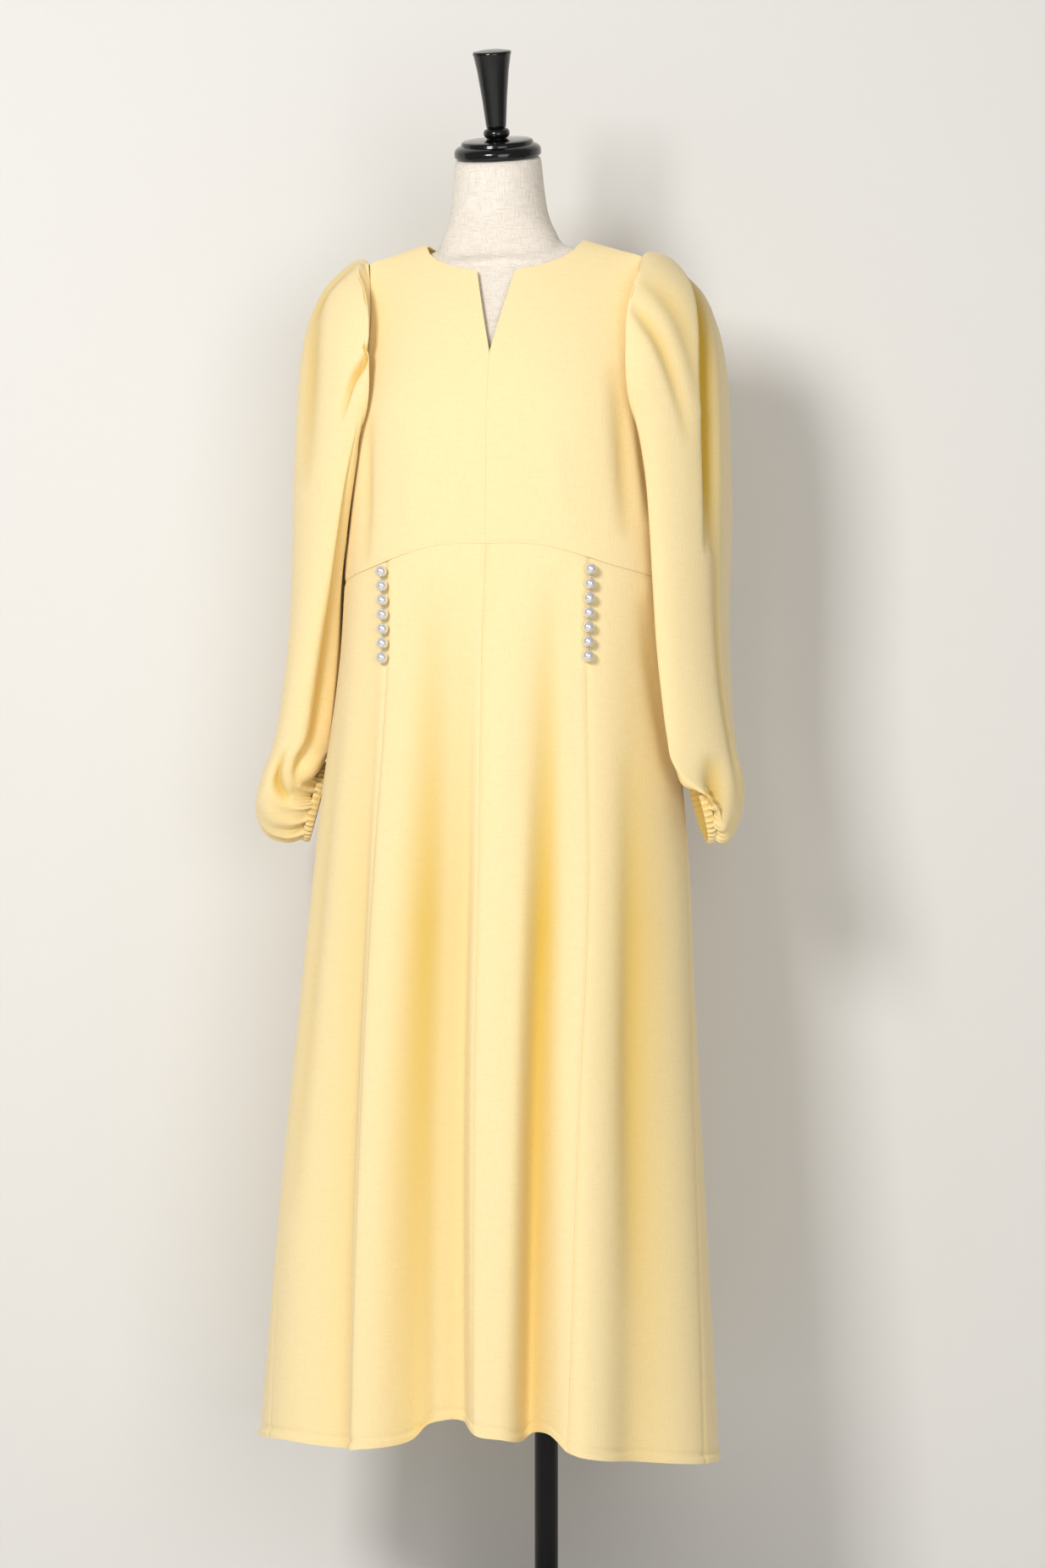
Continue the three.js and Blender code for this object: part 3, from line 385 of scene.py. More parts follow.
SKIRT_FOLD_GROWTH = 1.15
# angle at the waist and at the hem, depth at the hem, half width before and after in degrees, and
# how much painted shade its hollow gets
SKIRT_FOLDS = [
    (-72, -62, 6, 12, 10, 0), (-55, -42.5, -21, 9, 3.6, 0.3), (-46, -34, 8, 5, 9, 0),
    (-28, -19, -31, 8, 10, 0.8), (-9, 0.8, -33, 10, 4, 0.3), (33, 30, -43, 8, 4.2, 0.95),
    (50, 41, 9, 4, 10, 0), (66, 60, -18, 9, 10, 0.5), (112, 108, -16, 10, 9, 0.4),
    (128, 130, 9, 10, 9, 0), (148, 152, -22, 9, 9, 0.5), (178, 174, 8, 9, 9, 0),
    (-156, -161, -20, 10, 9, 0.5), (-134, -138, 10, 9, 8, 0), (-116, -114, -18, 9, 10, 0.4),
]
# painted shade in the folds' hollows reaches its full share this far down and weakens towards the hem
PAINTED_SHADE_FULL_GROWN = 0.4  # share of the way to the hem at which a fold's hollow is as gold as it gets
PAINTED_SHADE_HEM_LOSS = 0.6


def through_rows(rows, column=1):
    """A smooth curve through a table's rows, as a function of their first column."""
    rows = sorted(rows)
    keys = np.array([row[0] for row in rows], float)
    values = np.array([row[column] for row in rows], float)
    slopes = np.empty_like(values)
    slopes[1:-1] = (values[2:] - values[:-2]) / (keys[2:] - keys[:-2])
    slopes[0] = (values[1] - values[0]) / (keys[1] - keys[0])
    slopes[-1] = (values[-1] - values[-2]) / (keys[-1] - keys[-2])

    def at(t):
        t = np.clip(np.asarray(t, float), keys[0], keys[-1])
        i = np.clip(np.searchsorted(keys, t, side="right") - 1, 0, len(keys) - 2)
        step = keys[i + 1] - keys[i]
        s = (t - keys[i]) / step
        return (
            (2 * s**3 - 3 * s**2 + 1) * values[i]
            + (s**3 - 2 * s**2 + s) * step * slopes[i]
            + (3 * s**2 - 2 * s**3) * values[i + 1]
            + (s**3 - s**2) * step * slopes[i + 1]
        )

    return at


plan_at = {name: through_rows(PLAN, i) for i, name in enumerate(PLAN_COLUMNS) if i}
waist_z = through_rows(WAIST)
hem_z = through_rows(HEM)


def wrapped(degrees):
    return (degrees + 540) % 360 - 180


def skirt_folds(degrees, z):
    """How far the falling folds move the cloth out, in millimetres, and the painted shade of their hollows.
    """
    grown = np.clip((SKIRT_FOLDS_START_Z - z) / (SKIRT_FOLDS_START_Z - SKIRT_FOLDS_FULL_Z), 0, 1)
    out = np.zeros(np.broadcast(degrees, z).shape)
    painted_shade = np.zeros_like(out)
    painted_shade_growth = np.clip(grown / PAINTED_SHADE_FULL_GROWN, 0, 1) * (1 - PAINTED_SHADE_HEM_LOSS * grown**3)
    for top, hem, depth, before, after, hollow_painted_shade in SKIRT_FOLDS:
        off = wrapped(degrees - (top + (hem - top) * grown))
        near = np.exp(-((off / np.where(off < 0, before, after)) ** 2))
        out += depth * grown**SKIRT_FOLD_GROWTH * near
        painted_shade += hollow_painted_shade * painted_shade_growth * near
    return out, painted_shade


def oval_radius(side, depth, square, angle):
    across = np.abs(np.sin(angle)) / side
    through = np.abs(np.cos(angle)) / depth
    return (across**square + through**square) ** (-1 / square)


def body_radius(degrees, z):
    angle = np.radians(degrees)
    depth = np.where(np.cos(angle) > 0, plan_at["front"](z), plan_at["back"](z))
    return oval_radius(plan_at["side"](z), depth, plan_at["square"](z), angle)


def body_point(degrees, z, out=0.0):
    """Points of the dress's body at angles from the centre front, moved out by some millimetres."""
    degrees = np.asarray(degrees, float)
    z = np.asarray(z, float)
    angle = np.radians(degrees)
    radius = body_radius(degrees, z) + skirt_folds(degrees, z)[0] + out
    w = radius * np.sin(angle)
    y = plan_at["y"](z) - radius * np.cos(angle)
    top = SHOULDER_PEAK_Z - SHOULDER_SLOPE * np.abs(w)
    t = np.clip((z - UNDERARM_Z) / (top - UNDERARM_Z), 0, 1)
    roundness = np.where(np.cos(angle) < 0, SHOULDER_ROUND_BACK, SHOULDER_ROUND_FRONT)
    y = SHOULDER_Y - (SHOULDER_Y - y) * (1 - t**roundness) ** (1 / roundness)
    return np.stack([plan_at["x"](z) + w, y, z + 0 * w], axis=-1)


def body_normal(degrees, z):
    turn = 0.4
    rise = 1.5
    round_body = body_point(degrees + turn, z) - body_point(degrees - turn, z)
    up = body_point(degrees, z + rise) - body_point(degrees, z - rise)
    normal = np.cross(round_body, up)
    return normal / np.linalg.norm(normal, axis=-1, keepdims=True)


def grid_normals(points, closed):
    """The way out of a grid of points, rows going down and columns going round to the left."""
    down = np.gradient(points, axis=0)
    if closed:
        around = np.roll(points, -1, axis=1) - np.roll(points, 1, axis=1)
    else:
        around = np.gradient(points, axis=1)
    normal = np.cross(down, around)
    return normal / np.maximum(np.linalg.norm(normal, axis=-1, keepdims=True), 1e-9)


# painted shade that the cloth's inner side gets at least
LINING_PAINTED_SHADE = 0.75  # the cloth's inner side, which faces the dark
CLOTH_SHARP = math.radians(60)


def shell(name, outer, inner, material, depth, closed=False):
    """A thin closed wall of cloth between two grids of points, with painted shade from 0 to 1 by the depth
    of its folds.
    """
    rows, columns = outer.shape[:2]
    points = np.concatenate([outer.reshape(-1, 3), inner.reshape(-1, 3)])
    layer = rows * columns
    index = np.arange(layer).reshape(rows, columns)
    if closed:
        index = np.concatenate([index, index[:, :1]], axis=1)
    a, b, c, d = index[:-1, :-1], index[:-1, 1:], index[1:, 1:], index[1:, :-1]
    quads = [np.stack([a, b, c, d], -1).reshape(-1, 4), np.stack([a, d, c, b], -1).reshape(-1, 4) + layer]
    top, bottom = index[0], index[-1]
    quads.append(np.stack([top[:-1], top[:-1] + layer, top[1:] + layer, top[1:]], -1))
    quads.append(np.stack([bottom[:-1], bottom[1:], bottom[1:] + layer, bottom[:-1] + layer], -1))
    if not closed:
        first, last = index[:, 0], index[:, -1]
        quads.append(np.stack([first[:-1], first[1:], first[1:] + layer, first[:-1] + layer], -1))
        quads.append(np.stack([last[:-1], last[:-1] + layer, last[1:] + layer, last[1:]], -1))
    faces = np.concatenate(quads)
    corners = points[faces[:, :3]]
    volume = np.einsum("ij,ij->", corners[:, 0], np.cross(corners[:, 1], corners[:, 2]))
    if volume < 0:
        faces = faces[:, ::-1]
    piece = piece_from(name, points, faces.tolist(), material)
    piece.data.set_sharp_from_angle(angle=CLOTH_SHARP)
    # painted shade: the outer side's fold shade, and at least the lining's share on the inner side
    painted_shade_layer = piece.data.attributes.new("painted fold shade", "FLOAT", "POINT")
    painted_shades = np.clip(np.concatenate([depth.ravel(), np.maximum(depth, LINING_PAINTED_SHADE).ravel()]), 0, 1)
    painted_shade_layer.data.foreach_set("value", painted_shades.astype(np.float32))
    return piece


BODY_REACH = 150  # the body's usual radius, which turns degrees into millimetres
CREASE_FADE = 0.7


def pulled(rows, degrees, z):
    """Soft creases pulled in the cloth: each runs from one place on the body to another."""
    out = np.zeros(np.broadcast(degrees, z).shape)
    for start_degrees, start_z, end_degrees, end_z, depth, width in rows:
        share = np.clip((start_z - z) / (start_z - end_z), 0, 1)
        middle = start_degrees + (end_degrees - start_degrees) * share
        off = wrapped(degrees - middle) * np.radians(1) * BODY_REACH
        beyond = np.maximum(z - start_z, end_z - z)
        fade = np.sin(np.pi * share) ** CREASE_FADE * np.where(beyond > 0, 0, 1)
        out += depth * fade * np.exp(-((off / width) ** 2))
    return out


def crowded(count, crowding=0.55):
    """Even steps from 0 to 1 that close up towards both ends, where seams need finer cloth."""
    even = np.linspace(0, 1, count + 1)
    eased = 0.5 - 0.5 * np.cos(np.pi * even)
    return even + (eased - even) * crowding


SEAM_ROLL = 1.3  # how far the cloth dips into a seam
SEAM_ROLL_WIDTH = 3.0
# painted shade in the dip of each skirt seam
SEAM_PAINTED_SHADE = 0.15
CENTRE_SEAM_SHARE = 0.4  # the centre seam is pressed flatter than the others


def seam_dip(distance):
    return -SEAM_ROLL * np.exp(-((distance / SEAM_ROLL_WIDTH) ** 2))


CREPE_COLOR = (0.935, 0.765, 0.425)
CREPE_THREAD_COLOR = (0.87, 0.68, 0.34)
# painted shade: the deep gold that folds, creases, seams and the side against the body are mixed towards
CREPE_PAINTED_SHADE_COLOR = (0.70, 0.445, 0.045)
crepe = principled("yellow crepe", CREPE_COLOR, 0.82, Sheen_Weight=0.2, Specular_IOR_Level=0.25)
woven(crepe, threads=620, slub=0.4, relief=0.35, second_color=CREPE_THREAD_COLOR)


def painted_shade_in_folds(material, painted_shade_color):
    """Painted shade: mixes the double crepe's colour towards a deeper gold by the meshes' painted fold
    shade, in place of the shade and bounced light in folds.
    """
    nodes = material.node_tree.nodes
    links = material.node_tree.links
    base = nodes["Principled BSDF"].inputs["Base Color"]
    plain = base.links[0].from_socket
    # the share of painted shade stored on each mesh
    depth = nodes.new("ShaderNodeAttribute")
    depth.attribute_name = "painted fold shade"
    painted_shade = nodes.new("ShaderNodeMix")
    painted_shade.data_type = "RGBA"
    painted_shade.inputs[7].default_value = (*painted_shade_color, 1)
    links.new(depth.outputs["Fac"], painted_shade.inputs["Factor"])
    links.new(plain, painted_shade.inputs[6])
    links.new(painted_shade.outputs[2], base)


painted_shade_in_folds(crepe, CREPE_PAINTED_SHADE_COLOR)

# ---- Bodice ----
# Two fronts that meet in a centre seam under an open neck slit, and two backs. The front is eased
# over the bust, and its armholes and round neck are faced, so their edges are clean and thin.
SHOULDER_NECK = 85
SHOULDER_TIP = 146.5
SHOULDER_SEAM_DROP = 1
SLIT_BOTTOM_Z = 1408
SLIT_TOP_Z = 1496
SLIT_HALF_GAP = 20.5
FRONT_NECK = [(SLIT_HALF_GAP, SLIT_TOP_Z), (36, 1499), (52, 1504), (66, 1510), (77, 1518.5)]
BACK_NECK = [(0, 1513), (24, 1513.5), (46, 1516), (64, 1520), (77, 1526)]
FRONT_ARMHOLE = [(143, 1486), (140, 1455), (140, 1422), (144, 1392), (151, 1366), (160, 1345)]
BACK_ARMHOLE = [(145, 1488), (144, 1458), (145, 1426), (149, 1394), (155, 1366), (162, 1345)]
SLIT_EDGE_SHARE = 1 / 15  # share of the panel that turns aside beside the slit
COLUMN_CROWDING = 0.92
BODICE_CREASE_FULL_SHADE = 14.0  # the crease that would be fully in shade
SIDE_SEAM_TOP_Z = UNDERARM_Z + 30
SMOOTH_TOP = 12  # the top twelfth of a panel flattens out to its faced edge
BODICE_ROWS = 76
BODICE_COLUMNS_PER_SPAN = 5
# creases as angle and height of the start, angle and height of the end, depth, half width
BODICE_CREASES = [
    (57, 1400, 64, 1212, -5.0, 11), (65, 1376, 75, 1232, -4.0, 9), (-58, 1352, -61, 1185, -3.5, 8),
    (-70, 1330, -80, 1200, -2.5, 9), (30, 1330, 40, 1215, 1.6, 14), (-34, 1330, -40, 1215, 1.6, 14),
    (120, 1400, 112, 1200, -3.5, 12), (-122, 1390, -114, 1200, -3.5, 12), (150, 1360, 156, 1190, -2.5, 12),
    (-150, 1350, -157, 1190, -2.5, 12),
]


def angle_at(w, z, behind):
    """The angle at which the body is w wide of its centre plane."""
    low, high = 0.0, 90.0
    for _ in range(40):
        middle = (low + high) / 2
        degrees = 180 - middle if behind else middle
        if float(body_radius(degrees, z)) * math.sin(math.radians(degrees)) < w:
            low = middle
        else:
            high = middle
    return 180 - low if behind else low


def bodice_top(neck, armhole, behind):
    """The top edge of a panel as angle and height, from the neck over the shoulder to the underarm."""
    widths = np.linspace(SHOULDER_NECK, SHOULDER_TIP, 4)
    shoulder = [(w, SHOULDER_PEAK_Z - SHOULDER_SLOPE * w - SHOULDER_SEAM_DROP) for w in widths]
    edge = [(angle_at(w, z, behind), z) for w, z in [*neck, *shoulder, *armhole]]
    return np.array([*edge, (90, UNDERARM_Z)])


def finer(edge, parts):
    """More points along an edge, on straight lines, so that its corners stay."""
    at = np.linspace(0, len(edge) - 1, (len(edge) - 1) * parts + 1)
    corners = np.arange(len(edge))
    return np.stack([np.interp(at, corners, edge[:, k]) for k in (0, 1)], axis=-1), at / (len(edge) - 1)


def beside(degrees, z, distance):
    """An angle moved round the body by a distance in millimetres."""
    reach = np.linalg.norm(body_point(degrees + 0.5, z) - body_point(degrees - 0.5, z), axis=-1)
    return degrees + distance / reach


def bodice_panel(name, sign, behind):
    top, across = finer(
        bodice_top(BACK_NECK if behind else FRONT_NECK, BACK_ARMHOLE if behind else FRONT_ARMHOLE, behind),
        BODICE_COLUMNS_PER_SPAN,
    )
    centre = 180 if behind else 0
    slit_share = (SLIT_BOTTOM_Z - WAIST_FRONT_Z) / (SLIT_TOP_Z - WAIST_FRONT_Z)
    up = crowded(BODICE_ROWS)[:, None]
    waist_degrees = centre + (90 - centre) * across**COLUMN_CROWDING
    degrees = waist_degrees + (top[:, 0] - waist_degrees) * up
    z = (waist_z(waist_degrees * sign) + PANEL_GAP / 2) * (1 - up) + top[:, 1] * up
    if not behind:
        # the front edge follows the centre seam up to the slit, then opens to the slit's corner
        opening = np.clip((up - slit_share) / (1 - slit_share), 0, 1)
        near_edge = np.clip(1 - across / SLIT_EDGE_SHARE, 0, 1)
        degrees = degrees * (1 - near_edge) + top[0, 0] * opening * near_edge
    half_gap = PANEL_GAP / 2
    if behind:
        degrees[:, 0] = beside(np.full(len(z), 180.0), z[:, 0], -half_gap)
    else:
        closed = up[:, 0] <= slit_share
        degrees[closed, 0] = beside(np.zeros(closed.sum()), z[closed, 0], half_gap)
    degrees[:, -1] = beside(np.full(len(z), 90.0), z[:, -1], half_gap if behind else -half_gap)
    degrees = degrees * sign
    base = body_point(degrees, z)
    to_waist = z - z[:1]
    to_centre = np.linalg.norm(base - base[:, :1], axis=-1)
    to_side = np.linalg.norm(base - base[:, -1:], axis=-1)
    sewn = seam_dip(to_waist) + seam_dip(to_side) * (z < SIDE_SEAM_TOP_Z)
    sewn = sewn + seam_dip(to_centre) * (1 if behind else CENTRE_SEAM_SHARE * (z < SLIT_BOTTOM_Z))
    fade = np.clip((1 - up) * SMOOTH_TOP, 0, 1)
    out = pulled(BODICE_CREASES, degrees, z) * fade + sewn * fade
    outer = body_point(degrees, z, out)
    inner = outer - CLOTH * body_normal(degrees, z)
    # painted shade in the bodice's creases
    depth = np.clip(-pulled(BODICE_CREASES, degrees, z) * fade / BODICE_CREASE_FULL_SHADE, 0, 1)
    piece = shell(name.replace("bodice", "crepe_bodice"), outer, inner, crepe, depth)
    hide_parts(name)


for side, sign in {"left": 1, "right": -1}.items():
    bodice_panel(f"bodice_front_{side}", sign, False)
    bodice_panel(f"bodice_back_{side}", sign, True)

# ---- Skirt ----
# Six gores sewn to the bodice at a curved waist: two at the centre front, one at each side of them
# and two at the back. A pocket hangs open in each side seam, and the hem is turned up and sewn.
SEAM_COLUMNS = ("z", "centre_front", "front_left", "front_right", "side_left", "side_right")
GORE_SEAMS = [
    (1209, 0, 49.2, -51, 90, -90),
    (1090, -0.8, 47.6, -47.8, 89, -89),
    (815, 1.6, 45.5, -45.5, 86, -84),
    (560, 4.2, 41, -41, 83, -76),
    (260, 5.8, 37, -37, 79, -66),
]
seam_at = {name: through_rows(GORE_SEAMS, i) for i, name in enumerate(SEAM_COLUMNS) if i}
seam_at["centre_back_left"] = lambda z: 180 + 0 * np.asarray(z, float)
seam_at["centre_back_right"] = lambda z: -180 + 0 * np.asarray(z, float)
# each gore's node, its two seams, its columns, and its flat width, length and area in metres
GORES = [
    ("skirt_front_centre_left", "centre_front", "front_left", 44, (0.21, 0.95), 0.135),
    ("skirt_front_side_left", "front_left", "side_left", 36, (0.20, 0.95), 0.125),
    ("skirt_back_left", "side_left", "centre_back_left", 76, (0.47, 0.95), 0.34),
    ("skirt_front_centre_right", "front_right", "centre_front", 44, (0.21, 0.95), 0.135),
    ("skirt_front_side_right", "side_right", "front_right", 36, (0.20, 0.95), 0.11),
    ("skirt_back_right", "centre_back_right", "side_right", 76, (0.52, 0.95), 0.36),
]
SKIRT_CREASE_FULL_SHADE = 16.0  # the crease that would be fully in shade
SKIRT_ROWS = 150
HEM_CROWDING = 0.85
HEM_BAND = 7.0  # height of the turned edge
HEM_RELIEF = 2.0
HEM_STITCH_HALF = 2.2
HEM_STITCH_SHARE = 0.8
HEM_EDGE_POWER = 6
POCKET_TOP_Z = 1075
POCKET_BOTTOM_Z = 882
POCKET_LIP_FRONT = 3.0
POCKET_LIP_BACK = -1.5
POCKET_LIP_WIDTH = 16
# creases as angle and height of the start, angle and height of the end, depth, half width
SKIRT_CREASES = [
    (72, 1160, 80, 960, -5.0, 13), (62, 1000, 60, 420, -4.0, 12), (-62, 1120, -58, 700, 3.0, 14),
    (-70, 1050, -66, 500, -3.5, 12), (12, 1120, 10, 560, 2.5, 16), (22, 980, 20, 330, 3.0, 12),
    (-16, 1150, -12, 700, 2.0, 14), (100, 1150, 98, 700, -4.0, 14), (-98, 1150, -96, 700, -4.0, 14),
    (140, 1120, 142, 600, -4.0, 16), (-142, 1120, -148, 600, -4.0, 16),
]


def skirt_gore(name, start, end, columns, flat, area):
    across = crowded(columns)
    down = crowded(SKIRT_ROWS, HEM_CROWDING)[:, None]
    first, last = seam_at[start], seam_at[end]
    top_degrees = first(WAIST_FRONT_Z) * (1 - across) + last(WAIST_FRONT_Z) * across
    hem_degrees = first(SKIRT_FOLDS_FULL_Z) * (1 - across) + last(SKIRT_FOLDS_FULL_Z) * across
    z = (waist_z(top_degrees) - PANEL_GAP / 2) * (1 - down) + hem_z(hem_degrees) * down
    degrees = first(z) * (1 - across) + last(z) * across
    degrees[:, 0] = beside(degrees[:, 0], z[:, 0], PANEL_GAP / 2)
    degrees[:, -1] = beside(degrees[:, -1], z[:, -1], -PANEL_GAP / 2)
    base = body_point(degrees, z)
    to_start = np.linalg.norm(base - base[:, :1], axis=-1)
    to_end = np.linalg.norm(base - base[:, -1:], axis=-1)
    to_hem = z - z[-1:]
    stitched = np.exp(-(((to_hem - HEM_BAND - HEM_STITCH_HALF) / HEM_STITCH_HALF) ** 2))
    band = np.exp(-((to_hem / HEM_BAND) ** HEM_EDGE_POWER))
    turned_edge = HEM_RELIEF * (band - HEM_STITCH_SHARE * stitched)
    pocket = np.zeros_like(z)
    for seam, distance in ((start, to_start), (end, to_end)):
        if seam.startswith("side"):
            share = np.clip((POCKET_TOP_Z - z) / (POCKET_TOP_Z - POCKET_BOTTOM_Z), 0, 1)
            lip = POCKET_LIP_FRONT if "front" in name else POCKET_LIP_BACK
            hanging_open = np.sqrt(np.sin(np.pi * share))
            pocket += lip * hanging_open * np.exp(-((distance / POCKET_LIP_WIDTH) ** 2))
    out = (
        pulled(SKIRT_CREASES, degrees, z)
        + seam_dip(z[:1] - z)
        + seam_dip(to_start) * (CENTRE_SEAM_SHARE if start == "centre_front" else 1)
        + seam_dip(to_end) * (CENTRE_SEAM_SHARE if end == "centre_front" else 1)
        + turned_edge
        + pocket
    )
    outer = body_point(degrees, z, out)
    inner = outer - CLOTH * body_normal(degrees, z)
    # painted shade: creases, fold hollows and seams give the skirt's deeper gold
    crease_painted_shade = np.clip(-pulled(SKIRT_CREASES, degrees, z) / SKIRT_CREASE_FULL_SHADE, 0, 1)
    depth = skirt_folds(degrees, z)[1] + crease_painted_shade + SEAM_PAINTED_SHADE * seam_dip(to_start) / -SEAM_ROLL
    piece = shell(name.replace("skirt", "crepe_skirt"), outer, inner, crepe, depth)
    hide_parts(name)


for gore in GORES:
    skirt_gore(*gore)

# ---- Pearls ----
# Seven round pearl buttons are sewn close together down the top of each front seam of the skirt.
PEARL_COUNT = 7
PEARL_RADIUS = 6.2
PEARL_PITCH = 15.1
PEARL_TOP_Z = 1182
PEARL_STEPS = 32
pearl = principled(
    "silver pearl",
    (0.80, 0.79, 0.80),
    0.2,
    Metallic=0.55,
    Coat_Weight=0.6,
    Coat_Roughness=0.05,
)


def ball(name, centre, radius, material):
    """A round bead from rings of latitude, with a single point at each pole."""
    rings = PEARL_STEPS // 2
    points = [(0, 0, radius)]
    for i in range(1, rings):
        tilt = math.pi * i / rings
        rim = radius * math.sin(tilt)
        for j in range(PEARL_STEPS):
            turn = 2 * math.pi * j / PEARL_STEPS
            points.append((rim * math.cos(turn), rim * math.sin(turn), radius * math.cos(tilt)))
    points.append((0, 0, -radius))
    last = len(points) - 1
    faces = []
    for j in range(PEARL_STEPS):
        k = (j + 1) % PEARL_STEPS
        faces.append((0, 1 + j, 1 + k))
        for i in range(rings - 2):
            a = 1 + i * PEARL_STEPS
            faces.append((a + j, a + PEARL_STEPS + j, a + PEARL_STEPS + k, a + k))
        faces.append((last, last - PEARL_STEPS + k, last - PEARL_STEPS + j))
    return piece_from(name, np.array(points) + centre, faces, material)


for side in ("left", "right"):
    for i in range(PEARL_COUNT):
        z = PEARL_TOP_Z - i * PEARL_PITCH
        degrees = float(seam_at[f"front_{side}"](z))
        centre = body_point(degrees, z) + body_normal(degrees, z) * (PEARL_RADIUS + 2 * SEAM_GAP)
        piece = ball(f"round_pearl_{side}_{i + 1}", centre, PEARL_RADIUS, pearl)
        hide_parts(f"pearl_{side}_{i + 1}")

# ---- Sleeves ----
# Each sleeve is one very full piece, tucked into the armhole at its head and gathered into a narrow
# elastic cuff that turns in towards the body. It balloons out at the elbow and hangs over the cuff.
RING_COLUMNS = ("out_x", "out_z", "in_x", "in_z", "front", "back", "square")
SLEEVE_RINGS = [
    (157, 1519, 173.5, 1331, 70, 52, 2.2),
    (172, 1515, 175.5, 1326, 78, 62, 2.3),
    (191, 1499, 177, 1318, 84, 74, 2.4),
    (207, 1478, 178, 1308, 87, 84, 2.5),
    (218, 1450, 180, 1294, 88, 90, 2.5),
    (226, 1410, 181, 1274, 86, 93, 2.5),
    (231, 1352, 182, 1244, 83, 94, 2.5),
    (234, 1276, 183, 1204, 79, 93, 2.5),
    (235, 1200, 184, 1158, 75, 90, 2.5),
    (237, 1128, 188, 1104, 71, 86, 2.4),
    (243, 1062, 193, 1052, 68, 80, 2.3),
    (253, 1006, 199, 1012, 66, 74, 2.2),
    (266, 962, 204, 1002, 64, 66, 2.1),
    (269, 930, 207, 996, 58, 58, 2.1),
    (260, 905, 209.5, 991, 48, 47, 2),
    (246, 898, 210, 985.5, 38, 37, 2),
    (233, 904, 210, 980, 29, 29, 2),
]
# by ring, for the left and the right sleeve: middle, how far the outside stands out, and how far
# the front turns in to the body
SLEEVE_CENTRE_Y = [
    (0, -7, -7), (3, -5, -6), (5, -2.5, -4), (7, 0.5, 2), (8, 1.8, 8), (10, -7, 17), (12, -18, 22),
    (14, -28, 24), (16, -36, 24),
]
SLEEVE_SPREAD = [
    (0, -1.5, 1.5), (4, -1.5, 1.5), (7, -2, 0), (9, -5, 1), (11, -7, 4), (12, -8, 8), (13, -12, 11),
    (14, -12, 9), (15, -7, 2), (16, -2, -3),
]
SLEEVE_TURN = [
    (0, 14, 14), (1, 30, 32), (2, 42, 50), (3, 47, 58), (4, 45, 54), (5, 42, 50), (6, 38, 42), (7, 35, 33),
    (8, 32, 22), (9, 31, 12), (10, 30, 6), (11, 34, 3), (12, 38, 1), (13, 22, 0), (14, 5, 0), (16, 0, 0),
]
TURN_BEHIND = 0.12
SLEEVE_TWIST = [(10, 0, 0), (13, 9, -6), (16, 18, -14)]  # by ring: plus opens the cuff to the front
SLEEVE_CLEARANCE = [(0, 1.5), (2, 4), (16, 4)]  # by ring, from the body of the dress
SLEEVE_COLUMNS = 208
SLEEVE_ROWS_PER_RING = 8
ARMHOLE_STRETCH = 1.25
ARMHOLE_SAMPLES = 1200
HALVINGS = 24
# creases: the sleeve, the ring and angle where it starts and where it ends, its depth, and its half
# width behind and in front, where angles go round from the outside to the front
SLEEVE_CREASES = [
    ("left", 1.3, -4, 8, 54, -15, 16, 3), ("left", 1.6, 62, 6.4, 56, -5, 5, 4),
    ("left", 1.2, 42, 6, 40, -3.5, 8, 5), ("left", 6, 40, 13, 30, -4, 18, 10),
    ("left", 11.3, 64, 14.4, 65, -8, 10, 7), ("right", 1, 88, 5.4, 80, -8, 4, 3),
    ("right", 2.5, 18, 7, 60, -5, 12, 9), ("right", 4, 112, 14, 112, -6.5, 6, 8),
    ("right", 3.5, 138, 15, 142, 18, 17, 30), ("right", 8, 96, 14, 104, 3, 9, 5),
    ("right", 11.3, 84, 14.3, 88, -8, 8, 6), ("left", 1, 138, 7, 150, -7, 11, 11),
    ("left", 5, 172, 13, 176, 5, 14, 14), ("left", 1, 300, 7, 292, -8, 11, 11),
    ("right", 1, 300, 7, 292, -8, 11, 11), ("left", 4, 236, 13, 240, -6, 14, 14),
    ("right", 4, 232, 13, 238, -6, 14, 14), ("left", 11, 300, 15, 296, -8, 11, 11),
    ("right", 11, 300, 15, 296, -8, 11, 11), ("right", 0.2, 20, 4, 24, -4, 7, 5),
    ("left", 0.2, 332, 4, 326, -4, 6, 9), ("right", 0.2, 332, 4, 326, -4, 6, 9),
]
# cloth that rolls over a seam: the sleeve, angle, half width, ring, half length, and how far it
# moves in, to the front and down
SLEEVE_ROLLS = [
    ("right", 60, 38, 0.9, 1.2, 10, 2, 0), ("left", 60, 40, 0.9, 1.2, 3, 3, 0),
    ("left", 128, 30, 13.2, 1.2, 9, 10, 24), ("right", 130, 30, 13.6, 1.0, 2, 6, 8),
]
GATHER_WAVES = 14
GATHER_DEPTH = 2.6
GATHER_RINGS = 3.4
FINE_GATHER_WAVES = 41
FINE_GATHER_DEPTH = 1.1
FINE_GATHER_RINGS = 1.6
TUCK_WAVES = 15
TUCK_DEPTH = 1.5
TUCK_RINGS = 2.6
TUCK_START_RINGS = 0.6
TUCK_SPAN = 75  # degrees over the shoulder on which the tucks lie
GATHER_GROWTH = 1.4
# painted shade in the hollows between the gathers at the cuff
GATHER_PAINTED_SHADE = 0.6
GATHER_PHASE = 0.8
BODY_CLEARANCE = 3.5
BODY_CLEARANCE_GROWTH = 1.5  # gained with each ring from the armhole
# the crease that would have full painted shade
SLEEVE_CREASE_FULL_SHADE = 10.0
# painted shade on the sleeve's side that hangs against the dress, placed by angle and ring
BESIDE_BODY_PAINTED_SHADE = 0.22  # gold shade of the side that hangs against the dress
BESIDE_BODY_ANGLE = 152
BESIDE_BODY_SPAN = 56
BESIDE_BODY_RINGS = 3
SIDE_INDEX = {"left": 1, "right": 2}


